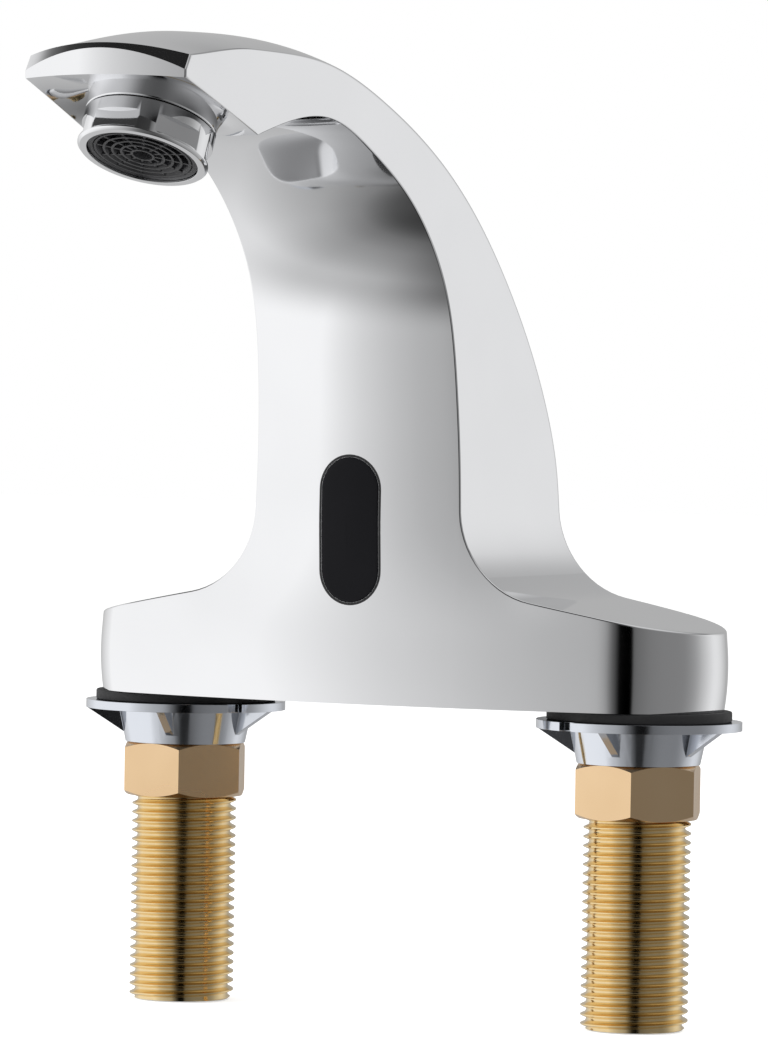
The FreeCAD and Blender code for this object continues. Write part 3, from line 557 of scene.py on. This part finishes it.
def build_skin(bm, inset, columns, base_rows, neck_rows, across_rows, last, with_tip):
    stations = outline_stations(inset, *OUTLINE_STEPS)
    count = len(stations) - 1
    base = {side: base_corners(side, stations, inset) for side in (-1, 1)}
    neck = {side: neck_corners(side, neck_rows, last, inset) for side in (-1, 1)}
    for side in (-1, 1):
        def block(i, k, side=side):
            low = base[side][0][0]
            x, z = low[1] * i / columns, low[2] * k / base_rows
            return Vector((x, face_y(side, x, z, inset), z))

        def outward(j, k, side=side):
            low = base[side][j][0]
            return wall_point(side, low, low[2] * k / base_rows, inset)

        def upward(i, r, side=side):
            u, reach, _, _ = neck[side][r]
            return neck_point(side, u, reach * i / columns, inset)

        def base_strip(j, n, side=side):
            low, edge, inner = base[side][j]
            return bend(wall_point(side, low, low[2], inset), edge, inner, n / STRIP_STEPS)

        def neck_strip(r, n, side=side):
            u, reach, edge, inner = neck[side][r]
            return bend(neck_point(side, u, reach, inset), edge, inner, n / STRIP_STEPS)

        lay_grid(bm, columns, base_rows, block)
        lay_grid(bm, count, base_rows, outward)
        lay_grid(bm, columns, neck_rows, upward)
        lay_grid(bm, count, STRIP_STEPS, base_strip)
        lay_grid(bm, neck_rows, STRIP_STEPS, neck_strip)
    lay_grid(bm, count, across_rows,
             lambda j, t: base[-1][j][2].lerp(base[1][j][2], t / across_rows))
    lay_grid(bm, neck_rows, across_rows,
             lambda r, t: neck[-1][r][3].lerp(neck[1][r][3], t / across_rows))
    if with_tip:
        build_tip(bm, columns, across_rows)


print("the back edge of the neck tightens to", round(neck_radius(1, SECTION_KNOTS[-1]), 2), "mm")

# %% [markdown]
# The tip ends in a bowed face with a bevel above it, which runs out thin at the far corner.
# Its grids take their sides from the same corners as the spout, so they weld to it.


# %% The spout's end
def build_tip(bm, columns, across_rows):
    radius = FRONT_EDGE
    last = SECTION_KNOTS[-1]
    reach_start = 1 - radius / section_at(last)[4]
    reach_end = 1 - radius / TIP_HALF
    back = Vector((0, radius, 0))

    def profile(t, share):
        """Down the tip's end at one share of its width: bowed face, then the bevel above it."""
        if t <= TIP_FACE_STEPS:
            return tip_point(TIP_LOWER, share).lerp(tip_point(TIP_UPPER, share), t / TIP_FACE_STEPS)
        above = (t - TIP_FACE_STEPS) / (across_rows - TIP_FACE_STEPS)
        return tip_point(TIP_UPPER, share).lerp(tip_point(TIP_TOP, share), above)

    def reach(r):
        return reach_start + (reach_end - reach_start) * r / TIP_ROWS

    def side_point(r, t):
        """Side face, from its lower edge up; it slides onto the tip's end as r grows."""
        v = r / TIP_ROWS
        low, high = spout_point(-1, v, 1.0), spout_point(1, v, 1.0)
        across = (high - low).normalized() * radius
        low, high = low + across, high - across
        point = low.lerp(high, t / across_rows)
        lift = Vector((0, 0, radius * (1 - 2 * t / across_rows)))
        end = profile(t, 1.0) + back + lift
        straight = (spout_point(-1, 1.0, 1.0) + Vector((0, 0, radius))).lerp(
            spout_point(1, 1.0, 1.0) - Vector((0, 0, radius)), t / across_rows)
        return point + (end - straight) * smoothstep(v) if r < TIP_ROWS else end

    for side in (-1, 1):
        def skin(i, r, side=side):
            return spout_point(side, r / TIP_ROWS, reach(r) * i / columns)

        def strip(r, n, side=side):
            edge = spout_point(side, r / TIP_ROWS, 1.0)
            inner = side_point(r, 0 if side < 0 else across_rows)
            return bend(spout_point(side, r / TIP_ROWS, reach(r)), edge, inner, n / STRIP_STEPS)

        lay_grid(bm, columns, TIP_ROWS, skin)
        lay_grid(bm, TIP_ROWS, STRIP_STEPS, strip)
    lay_grid(bm, TIP_ROWS, across_rows, side_point)
    lay_grid(bm, columns, across_rows, lambda i, t: profile(t, reach_end * i / columns))

    def corner(t, n):
        edge, inner = profile(t, 1.0), side_point(TIP_ROWS, t)
        return bend(profile(t, reach_end), edge, inner, n / STRIP_STEPS)

    lay_grid(bm, across_rows, STRIP_STEPS, corner)


print("the tip has", TIP_FACE_STEPS, "rows of face and", TIP_STEPS - TIP_FACE_STEPS, "of bevel")

# %% [markdown]
# The casting is hollow. The inner skin is the same shape, drawn in by the wall, coarser, and
# closed before it reaches the head. Both half skins are mirrored, the inner one is capped, and
# one ring of faces round the bottom rim joins the two.

# %% Outer and inner skin of the casting
SKIN_WELD, RIM_HEIGHT = 0.003, 0.01
OUTER_GRID = {"columns": 16, "base_rows": 18, "neck_rows": 96, "across_rows": TIP_STEPS}
INNER_GRID = {"columns": 16, "base_rows": 6, "neck_rows": 24, "across_rows": 4}


def casting_skins():
    bm = bmesh.new()
    build_skin(bm, 0.0, last=SECTION_KNOTS[-1], with_tip=True, **OUTER_GRID)
    build_skin(bm, WALL, last=SECTION_KNOTS[-2], with_tip=False, **INNER_GRID)
    weld = SKIN_WELD * MM
    bmesh.ops.remove_doubles(bm, verts=bm.verts, dist=weld)
    bmesh.ops.mirror(bm, geom=bm.verts[:] + bm.edges[:] + bm.faces[:], merge_dist=weld, axis="X")
    bmesh.ops.remove_doubles(bm, verts=bm.verts, dist=weld)
    open_edges = [edge for edge in bm.edges if edge.is_boundary]
    end = [edge for edge in open_edges if edge.verts[0].co.z > NECK_START * MM]
    rim = [edge for edge in open_edges if max(v.co.z for v in edge.verts) < RIM_HEIGHT * MM]
    print("open edges", len(open_edges), "end", len(end), "rim", len(rim))
    bmesh.ops.holes_fill(bm, edges=end, sides=0)
    bmesh.ops.bridge_loops(bm, edges=rim)
    bmesh.ops.recalc_face_normals(bm, faces=bm.faces)
    return bm


def even_shading(piece):
    """Weigh normals by area, so that narrow rounded edges don't tilt the wide faces."""
    even = piece.modifiers.new("even shading", "WEIGHTED_NORMAL")
    even.mode, even.weight, even.keep_sharp = "FACE_AREA", 50, True


skin_bm = casting_skins()
cast_tree = BVHTree.FromBMesh(skin_bm)  # kept for the window, which is laid on this skin
even_shading(finish_piece("cast_body", skin_bm, chrome, "root", ("body",), sharp=25))

# %% [markdown]
# The aerator hangs on an outlet that is tilted forwards. Its collar is cast with the spout and
# comes down out of the dished underside. Round parts like it are outlines, spun once about the
# Z axis and then moved to their own axis, so each needs only a few radii and heights.

# %% Sizes of the round parts, and two helpers
OUTLET = Vector((0.0, -106.5, 103.0)) * MM
OUTLET_TILT = math.radians(24.0)
TO_OUTLET = Matrix.Translation(OUTLET) @ Matrix.Rotation(-OUTLET_TILT, 4, "X")
COLLAR_RADIUS, COLLAR_BORE, COLLAR_EDGE = 12.25, 10.5, 0.35
COLLAR_FOOT, COLLAR_TOP = 7.0, 15.0  # along the outlet's axis
BOSS_RADIUS, BOSS_BORE, BOSS_HEIGHT, BOSS_EDGE = 13.4, 10.3, 12.9, 0.3
SHANK_X = 50.8  # shanks stand this far from the middle
SHANKS = (("left", -SHANK_X), ("right", SHANK_X))
TURNED_WELD = 0.0005


def spin_chain(bm, points, steps, closed=False, climb=0.0, weld=TURNED_WELD):
    """Spin a chain of (radius, height) points, in millimetres, once about the Z axis."""
    chain = [bm.verts.new((r * MM, 0, z * MM)) for r, z in points]
    ahead = chain[1:] + chain[:1] if closed else chain[1:]
    edges = [bm.edges.new(pair) for pair in zip(chain, ahead)]
    bmesh.ops.spin(bm, geom=chain + edges, cent=(0, 0, 0), axis=(0, 0, 1),
                   dvec=(0, 0, climb / steps * MM), angle=math.tau, steps=steps,
                   use_merge=not climb)
    bmesh.ops.remove_doubles(bm, verts=bm.verts, dist=weld * MM)


def round_edges(bm, radius, angle=25.0, segments=3):
    """Round every edge that turns by more than an angle."""
    bmesh.ops.recalc_face_normals(bm, faces=bm.faces)
    limit = math.radians(angle)
    keen = [edge for edge in bm.edges if edge.is_manifold and edge.calc_face_angle(0) > limit]
    bmesh.ops.bevel(bm, geom=keen, offset=radius * MM, offset_type="OFFSET", segments=segments,
                    profile=0.5, affect="EDGES", clamp_overlap=True, material=-1)


print("outlet", [round(c / MM, 1) for c in OUTLET], "mm, tilted",
      round(math.degrees(OUTLET_TILT)), "degrees")

# %% Collar and shank bosses of the same casting
def cast_ring(name, bore, outside, foot, top, steps, edge, matrix):
    bm = bmesh.new()
    corners = ((bore, foot), (outside, foot), (outside, top), (bore, top))
    spin_chain(bm, corners, steps, closed=True)
    bmesh.ops.transform(bm, matrix=matrix, verts=bm.verts)
    round_edges(bm, edge)
    even_shading(finish_piece(name, bm, chrome, "root", sharp=35))


cast_ring("outlet_collar", COLLAR_BORE, COLLAR_RADIUS, COLLAR_FOOT, COLLAR_TOP,
          steps=96, edge=COLLAR_EDGE, matrix=TO_OUTLET)
for side, x in SHANKS:
    cast_ring(side + "_shank_boss", BOSS_BORE, BOSS_RADIUS, 0.0, BOSS_HEIGHT,
              steps=64, edge=BOSS_EDGE, matrix=Matrix.Translation((x * MM, 0, 0)))
print("collar and two bosses")

# %% [markdown]
# The shanks carry a pipe thread down their whole length. A thread is a profile of one pitch,
# repeated, and spun once while it climbs by one pitch: the end of the spin then meets its
# start, and a merge closes the helix. Both ends are cut square, the lower one is chamfered,
# and the thread is bridged to a plain bore.

# %% Threaded shanks
THREAD_CREST, THREAD_ROOT, THREAD_PITCH = 10.45, 9.32, 1.8143
SHANK_BOTTOM, SHANK_TOP, THREAD_TOP, SHANK_BORE = -62.0, 5.0, -0.6, 7.5
THREAD_PROFILE = (  # share of the pitch, and share of the thread's depth
    (0.0, 0.0), (0.12, 0.0), (0.30, 0.72), (0.39, 1.0), (0.53, 1.0), (0.62, 0.72), (0.80, 0.12),
)
THREAD_STEPS = 72
THREAD_WELD = 0.002
LEAD_IN, LEAD_SLOPE = 0.1, 1.1  # the chamfer: how it starts above the root, and rises
SHANK_EDGE = 0.3


def thread_points():
    turns = math.ceil((THREAD_TOP - SHANK_BOTTOM) / THREAD_PITCH) + 2
    for turn in range(turns):
        for along, rise in THREAD_PROFILE:
            radius = THREAD_ROOT + (THREAD_CREST - THREAD_ROOT) * rise
            yield radius, SHANK_BOTTOM + (turn - 1.5 + along) * THREAD_PITCH


def cut_ends_square(bm):
    for height, up in ((SHANK_BOTTOM, -1), (THREAD_TOP, 1)):
        bmesh.ops.bisect_plane(bm, geom=bm.verts[:] + bm.edges[:] + bm.faces[:],
                               dist=TURNED_WELD * MM, plane_co=(0, 0, height * MM),
                               plane_no=(0, 0, up), clear_outer=True)


def chamfer_thread(bm):
    """The thread fades into a short cone at its lower end."""
    for vertex in bm.verts:
        above = vertex.co.z / MM - SHANK_BOTTOM
        limit = (THREAD_ROOT + LEAD_IN + LEAD_SLOPE * above) * MM
        radius = vertex.co.xy.length
        if radius > limit:
            vertex.co.xy *= limit / radius


def core_points():
    """From the lower end, up the bore, over the top and down the neck to the thread."""
    neck = THREAD_CREST - SHANK_EDGE
    return ((THREAD_ROOT - SHANK_EDGE, SHANK_BOTTOM), (SHANK_BORE + SHANK_EDGE, SHANK_BOTTOM),
            (SHANK_BORE, SHANK_BOTTOM + SHANK_EDGE), (SHANK_BORE, SHANK_TOP),
            (neck, SHANK_TOP), (neck, THREAD_TOP))


def threaded_shank(x):
    bm = bmesh.new()
    spin_chain(bm, thread_points(), THREAD_STEPS, climb=THREAD_PITCH, weld=THREAD_WELD)
    cut_ends_square(bm)
    chamfer_thread(bm)
    spin_chain(bm, core_points(), THREAD_STEPS)
    rings = [edge for edge in bm.edges if edge.is_boundary]
    for height in (SHANK_BOTTOM, THREAD_TOP):
        pair = [edge for edge in rings
                if all(abs(v.co.z / MM - height) < RIM_HEIGHT for v in edge.verts)]
        bmesh.ops.bridge_loops(bm, edges=pair)
    bmesh.ops.translate(bm, verts=bm.verts, vec=(x * MM, 0, 0))
    return bm


for side, x in SHANKS:
    shank_bm = threaded_shank(x)
    print("open edges of the thread:", sum(edge.is_boundary for edge in shank_bm.edges))
    finish_piece(side + "_threaded_shank", shank_bm, turned_brass, "root",
                 (side + "_shank",), sharp=50)

# %% [markdown]
# Clamp washers, nuts, gaskets and the aerator's shell have the right outline already, but
# their edges are knife sharp, and no cast or turned edge is. A copy of each is welded, its
# flat faces are joined back together, and its edges are rounded a little.

# %% Rounded copies of the clamps' pieces
WASHER_EDGE, GASKET_EDGE, NUT_EDGE = 0.22, 0.3, 0.18
KEEN_ANGLE, FLAT_ANGLE = 28.0, 1.0  # edges that turn more are rounded, or less are joined


def rounded_copy(node, material, body, radius, segments=2, reshape=None):
    bm = bmesh.new()
    bm.from_mesh(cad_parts[node].data)
    if reshape:
        reshape(bm)
    bmesh.ops.remove_doubles(bm, verts=bm.verts, dist=SKIN_WELD * MM)
    bmesh.ops.dissolve_limit(bm, angle_limit=math.radians(FLAT_ANGLE), verts=bm.verts,
                             edges=bm.edges)
    round_edges(bm, radius, KEEN_ANGLE, segments)
    even_shading(finish_piece(node + "_rounded", bm, material, body, (node,), sharp=40))


for side in ("left", "right"):
    rounded_copy(side + "_flange_washer", clamp_chrome, side + "_clamp",
                 WASHER_EDGE)
    rounded_copy(side + "_gasket", rubber, side + "_clamp", GASKET_EDGE)
    rounded_copy(side + "_hex_nut", raw_brass, side + "_nut", NUT_EDGE)

# %% [markdown]
# Seen from below, the aerator is a thin bright lip round a black grille. The lip of the shell
# is therefore opened a little and the grille's face widened to fill it, before both are rounded.

# %% Aerator with a thin lip
LIP_RADII, LIP_SCALE, LIP_TOP = (9.9, 10.1), 1.045, 1.3
FACE_RADII, FACE_SCALE, FACE_TOP = (0.0, 9.3), 1.12, 1.25
SHELL_EDGE, GRILLE_EDGE = 0.35, 0.06


def widen_mouth(bm, radii, scale, top):
    """Widen what lies between two radii near the aerator's mouth."""
    low, high = radii
    bmesh.ops.transform(bm, matrix=TO_OUTLET.inverted(), verts=bm.verts)
    for vertex in bm.verts:
        if vertex.co.z < top * MM and low * MM < vertex.co.xy.length < high * MM:
            vertex.co.xy *= scale
    bmesh.ops.transform(bm, matrix=TO_OUTLET, verts=bm.verts)


rounded_copy("aerator_shell", chrome, "aerator_ring", SHELL_EDGE, segments=3,
             reshape=lambda bm: widen_mouth(bm, LIP_RADII, LIP_SCALE, LIP_TOP))
rounded_copy("aerator_insert", black_plastic, "aerator_core", GRILLE_EDGE,
             segments=1, reshape=lambda bm: widen_mouth(bm, FACE_RADII, FACE_SCALE, FACE_TOP))

# %% [markdown]
# The sensor looks out through a window of dark plastic, set flush in the front of the neck
# with a thin rubber line round it. Both are laid on the casting by casting rays at it, so they
# follow its curve, and the seal is sunk a little so that the line reads as a groove.

# %% Window and its seal
WINDOW_WIDTH, WINDOW_HEIGHT, WINDOW_Z, SEAL_WIDTH = 12.6, 28.3, 33.8, 0.5
SUNK = -1.4  # both reach this far behind the casting's front
WINDOW_PROUD, WINDOW_LIP = 0.12, 0.5  # how far the window stands out, and its rounded lip
RING_COUNT, RING_STEP = 9, 0.58  # rings that carry the window over the curved front
ARC_STEPS, SIDE_STEPS = 24, 16
RAY_START = -200.0  # well in front of the tap


def stadium_ring(grow):
    """Points of the window's upright stadium, grown outwards, as (x, z) about its middle."""
    radius, straight = WINDOW_WIDTH / 2 + grow, (WINDOW_HEIGHT - WINDOW_WIDTH) / 2
    ring = []
    for end, start in ((1, 0.0), (-1, math.pi)):
        for i in range(ARC_STEPS):
            turn = start + math.pi * i / ARC_STEPS
            ring.append((radius * math.cos(turn), end * straight + radius * math.sin(turn)))
        for i in range(SIDE_STEPS):
            ring.append((-end * radius, end * straight * (1 - 2 * i / SIDE_STEPS)))
    return ring


def cast_front(x, z):
    """Where a ray from the front meets the casting."""
    hit = cast_tree.ray_cast(Vector((x, RAY_START, z)) * MM, Vector((0, 1, 0)))[0]
    return hit.y / MM


def laid_on_front(bm, rings):
    """Bands between rings of (grow, height above the front); gives the edges of each ring."""
    loops = []
    for grow, proud in rings:
        loop = []
        for x, z in stadium_ring(grow):
            y = cast_front(x, WINDOW_Z + z) - proud
            loop.append(bm.verts.new((x * MM, y * MM, (WINDOW_Z + z) * MM)))
        loops.append([bm.edges.new(pair) for pair in zip(loop, loop[1:] + loop[:1])])
    for outer, inner in zip(loops, loops[1:]):
        bmesh.ops.bridge_loops(bm, edges=outer + inner)
    return loops


window_bm = bmesh.new()
inset_rings = [(0.0, SUNK), (0.0, -0.02), (-0.06, 0.05), (-0.2, 0.1)]
inset_rings += [(-WINDOW_LIP - RING_STEP * step, WINDOW_PROUD) for step in range(RING_COUNT + 1)]
window_loops = laid_on_front(window_bm, inset_rings)
for loop in (window_loops[0], window_loops[-1]):
    bmesh.ops.holes_fill(window_bm, edges=loop, sides=0)
finish_piece("infrared_window", window_bm, lens, "root", ("sensor_window",),
             sharp=60)
seal_rings = [(0.0, SUNK), (0.0, 0.0), (0.08, 0.05), (0.25, 0.06), (SEAL_WIDTH, 0.0),
              (SEAL_WIDTH, SUNK)]
seal_bm = bmesh.new()
seal_loops = laid_on_front(seal_bm, seal_rings)
bmesh.ops.bridge_loops(seal_bm, edges=seal_loops[0] + seal_loops[-1])
finish_piece("window_seal_line", seal_bm, rubber, "root", ("window_seal",), sharp=60)

# %% [markdown]
# The studio. Chrome is only as good as what it mirrors. A tap like this is photographed in a
# white tent with a soft key on the left, a dark gap beside the camera that draws the upright
# bands on every round part, and a dark cloth hung high in front that darkens the tip's bevel.
# The world does the same with ramps of grey: one round the compass near level, one round it
# well below level, one from straight down to straight up, and one for the cloth. Only mirrored
# rays see them. Camera rays see plain white, and diffuse rays an even light.

# %% Tones of the studio
TONES_ROUND = (  # compass angle from the front, towards +X, in degrees, and brightness there
    (-180, 0.46), (-150, 0.40), (-110, 0.80), (-75, 1.40), (-50, 1.25), (-36, 0.90), (-25, 0.72),
    (-10, 0.50), (0, 0.46), (7, 0.36), (13, 0.15), (18, 0.07), (21, 0.02), (23, 0.0), (34, 0.0),
    (37, 0.0), (38.5, 0.14), (46, 0.16), (58, 0.20), (75, 0.22), (97, 0.22), (110, 0.30),
    (122, 0.44), (140, 0.78), (152, 0.84), (165, 0.70), (180, 0.46),
)
TONES_LOW = (  # the same well below level, where the tent's floor is
    (-180, 0.38), (-150, 0.42), (-120, 0.72), (-95, 0.85), (-80, 0.80), (-60, 0.58), (-47, 0.60),
    (-25, 0.48), (-8, 0.22), (5, 0.12), (35, 0.06), (60, 0.30), (85, 0.50), (130, 0.60),
    (180, 0.38),
)
TONE_HIGH = 0.62  # well above level it is the same all round
LOW_TO_HIGH = (-0.1, 0.1)  # height over which low gives way to high
NEAR_TO_AWAY = (0.36, 0.66)  # and the same from near level to away from it
TONES_UP = (  # height of the direction, -1 straight down to 1 straight up, and its share
    (-1.0, 0.05), (-0.96, 0.08), (-0.93, 0.30), (-0.88, 0.52), (-0.80, 0.70), (-0.72, 1.0),
    (-0.3, 1.0), (0.38, 1.0), (0.49, 0.82), (0.55, 0.32), (0.62, 0.45), (0.75, 0.9), (1.0, 1.1),
)
CLOTH_TOWARDS, CLOTH_EDGE = (-0.5, -0.866, 0.0), (0.08, 0.24)  # in front, to the left
DARK_AHEAD = (  # height of the direction, and the share of the light that the cloth leaves
    (-1.0, 1.0), (0.46, 1.0), (0.56, 0.6), (0.65, 0.04), (0.9, 0.01), (0.97, 0.1), (1.0, 0.3),
)
DIFFUSE_GREY, DIFFUSE_STRENGTH = 0.9, 0.7
print("studio of", len(TONES_ROUND) + len(TONES_LOW) + len(TONES_UP) + len(DARK_AHEAD), "tones")


# %% Nodes of the world
def ramp(tree, fac, stops, low, high):
    """Greys along a value that runs from low to high."""
    node = tree.nodes.new("ShaderNodeValToRGB")
    node.color_ramp.interpolation = "B_SPLINE"
    elements = node.color_ramp.elements
    while len(elements) < len(stops):
        elements.new(0.5)
    for element, (where, value) in zip(elements, stops):
        element.position = (where - low) / (high - low)
        element.color = grey(value)
    tree.links.new(remap(tree, fac, low, high), node.inputs["Fac"])
    return node.outputs["Color"]


def fade(tree, value, ends):
    return remap(tree, value, *ends, kind="SMOOTHSTEP")


def compass_ramp(tree, compass, tones):
    stops = [(math.radians(where), value) for where, value in tones]
    return ramp(tree, compass, stops, -math.pi, math.pi)


def studio_tones(tree):
    """Brightness of the tent in a direction, from where it points."""
    direction = tree.nodes.new("ShaderNodeTexCoord").outputs["Generated"]
    split = tree.nodes.new("ShaderNodeSeparateXYZ")
    tree.links.new(direction, split.inputs["Vector"])
    upward = split.outputs["Z"]
    forward = maths(tree, "MULTIPLY", split.outputs["Y"], -1.0)
    compass = maths(tree, "ARCTAN2", split.outputs["X"], forward)
    away = blend(tree, "MIX", fade(tree, upward, LOW_TO_HIGH),
                 compass_ramp(tree, compass, TONES_LOW), grey(TONE_HIGH))
    around = blend(tree, "MIX", fade(tree, maths(tree, "ABSOLUTE", upward), NEAR_TO_AWAY),
                   compass_ramp(tree, compass, TONES_ROUND), away)
    towards = tree.nodes.new("ShaderNodeVectorMath")
    towards.operation = "DOT_PRODUCT"
    towards.inputs[1].default_value = CLOTH_TOWARDS
    tree.links.new(direction, towards.inputs[0])
    cloth = blend(tree, "MIX", fade(tree, towards.outputs["Value"], CLOTH_EDGE), grey(1.0),
                  ramp(tree, upward, DARK_AHEAD, -1.0, 1.0))
    tent = blend(tree, "MULTIPLY", 1.0, around, ramp(tree, upward, TONES_UP, -1.0, 1.0))
    return blend(tree, "MULTIPLY", 1.0, tent, cloth)


def background(tree, value, strength):
    shade = tree.nodes.new("ShaderNodeBackground")
    shade.inputs["Color"].default_value = grey(value)
    shade.inputs["Strength"].default_value = strength
    return shade


# %% World
def build_world():
    world = bpy.data.worlds.new("studio")
    bpy.context.scene.world = world
    world.use_nodes = True
    tree = world.node_tree
    tree.nodes.clear()
    light = tree.nodes.new("ShaderNodeLightPath")
    mirrored = maths(tree, "MAXIMUM", light.outputs["Is Glossy Ray"],
                     light.outputs["Is Transmission Ray"])
    seen = background(tree, DIFFUSE_GREY, DIFFUSE_STRENGTH)
    studio, backdrop = background(tree, 1.0, 1.0), background(tree, 1.0, 1.0)
    tree.links.new(studio_tones(tree), studio.inputs["Color"])
    for fac, other in ((mirrored, studio), (light.outputs["Is Camera Ray"], backdrop)):
        mix = tree.nodes.new("ShaderNodeMixShader")
        tree.links.new(fac, mix.inputs["Fac"])
        tree.links.new(seen.outputs[0], mix.inputs[1])
        tree.links.new(other.outputs[0], mix.inputs[2])
        seen = mix
    out = tree.nodes.new("ShaderNodeOutputWorld")
    tree.links.new(seen.outputs[0], out.inputs["Surface"])


build_world()
print("the world has", len(bpy.context.scene.world.node_tree.nodes), "nodes")

# %% [markdown]
# Three large soft lamps light what isn't a mirror: the raw brass, the rubber and the floor's
# soft shadow. Chrome doesn't see them, because the studio's tones already hold their glow.


# %% Lamps
AIM = Vector((0, -0.03, 0.03))
LAMPS = (  # name, compass angle, height, distance and size in metres, power in watts
    ("key", -55, 0.55, 0.9, 0.6, 9.0),
    ("fill", 75, 0.35, 1.0, 0.7, 3.5),
    ("top", 150, 1.0, 0.6, 0.7, 3.5),
)


def soft_lamp(name, azimuth, height, distance, size, power):
    lamp = bpy.data.lights.new(name, "AREA")
    lamp.shape, lamp.size, lamp.energy = "SQUARE", size, power
    obj = bpy.data.objects.new(name, lamp)
    bpy.context.scene.collection.objects.link(obj)
    turn = math.radians(azimuth)
    obj.location = (math.sin(turn) * distance, -math.cos(turn) * distance, height)
    obj.rotation_euler = (AIM - obj.location).to_track_quat("-Z", "Y").to_euler()
    obj.visible_glossy = False


for lamp_row in LAMPS:
    soft_lamp(*lamp_row)
print(len(LAMPS), "soft lamps")

# %% [markdown]
# The floor is a pale sheet just under the shanks. To the camera it glows a little, so that it
# runs into the white behind it, while the tap still stands on its own soft shadow.


# %% Floor
FLOOR_HALF, FLOOR_GAP, FLOOR_GLOW = 4.0, 0.0002, 0.55


def build_floor():
    floor_bm = bmesh.new()
    bmesh.ops.create_grid(floor_bm, x_segments=1, y_segments=1, size=FLOOR_HALF)
    bmesh.ops.translate(floor_bm, verts=floor_bm.verts, vec=(0, 0, cad_low.z - FLOOR_GAP))
    mesh = bpy.data.meshes.new("floor")
    floor_bm.to_mesh(mesh)
    floor_bm.free()
    floor = bpy.data.objects.new("floor", mesh)
    bpy.context.scene.collection.objects.link(floor)
    material, shader = new_material("pale_floor", (0.82, 0.82, 0.82), 0.0, 0.8)
    mottle = noise_on(material, 3.0, 2.0)
    vary(material, shader, mottle, "Base Color", (0.81, 0.81, 0.81), (0.84, 0.84, 0.84))
    tree = material.node_tree
    light = tree.nodes.new("ShaderNodeLightPath")
    shader.inputs["Emission Color"].default_value = (1.0, 1.0, 1.0, 1.0)
    tree.links.new(maths(tree, "MULTIPLY", light.outputs["Is Camera Ray"], FLOOR_GLOW),
                   shader.inputs["Emission Strength"])
    mesh.materials.append(material)
    floor.visible_glossy = False


build_floor()
print("floor at z =", round(cad_low.z, 4))

# %% [markdown]
# The camera stands where the photograph was taken from: a long lens, well to the right of the
# spout, almost level with the middle of the neck, and turned a degree about its own axis.

# %% Camera
CAMERA_AZIMUTH = 28.515
CAMERA_DISTANCE = 1.3117
CAMERA_HEIGHT = 0.06695
CAMERA_SIDESTEP = -0.005407
CAMERA_PITCH = 1.486  # degrees downwards
CAMERA_ROLL = 0.98
FOCAL_PIXELS = 6653.7  # for the photograph's 1064 px height
PHOTO_HEIGHT = 1064
SENSOR = 36.0


def build_camera():
    turn = math.radians(CAMERA_AZIMUTH)
    back = Vector((math.sin(turn), -math.cos(turn), 0.0))
    right = Vector((math.cos(turn), math.sin(turn), 0.0))
    camera = bpy.data.cameras.new("camera")
    camera.sensor_width = SENSOR
    camera.lens = FOCAL_PIXELS / PHOTO_HEIGHT * SENSOR
    camera.clip_start, camera.clip_end = 0.1, 20.0
    obj = bpy.data.objects.new("camera", camera)
    bpy.context.scene.collection.objects.link(obj)
    obj.location = back * CAMERA_DISTANCE + right * CAMERA_SIDESTEP + Vector((0, 0, CAMERA_HEIGHT))
    pitch, roll = math.radians(90.0 - CAMERA_PITCH), math.radians(CAMERA_ROLL)
    level = Matrix.Rotation(turn, 4, "Z") @ Matrix.Rotation(pitch, 4, "X")
    obj.rotation_euler = (level @ Matrix.Rotation(roll, 4, "Z")).to_euler()
    bpy.context.scene.camera = obj


build_camera()
bpy.context.scene.view_settings.view_transform = "Standard"
print("camera at", [round(c, 3) for c in bpy.context.scene.camera.location])
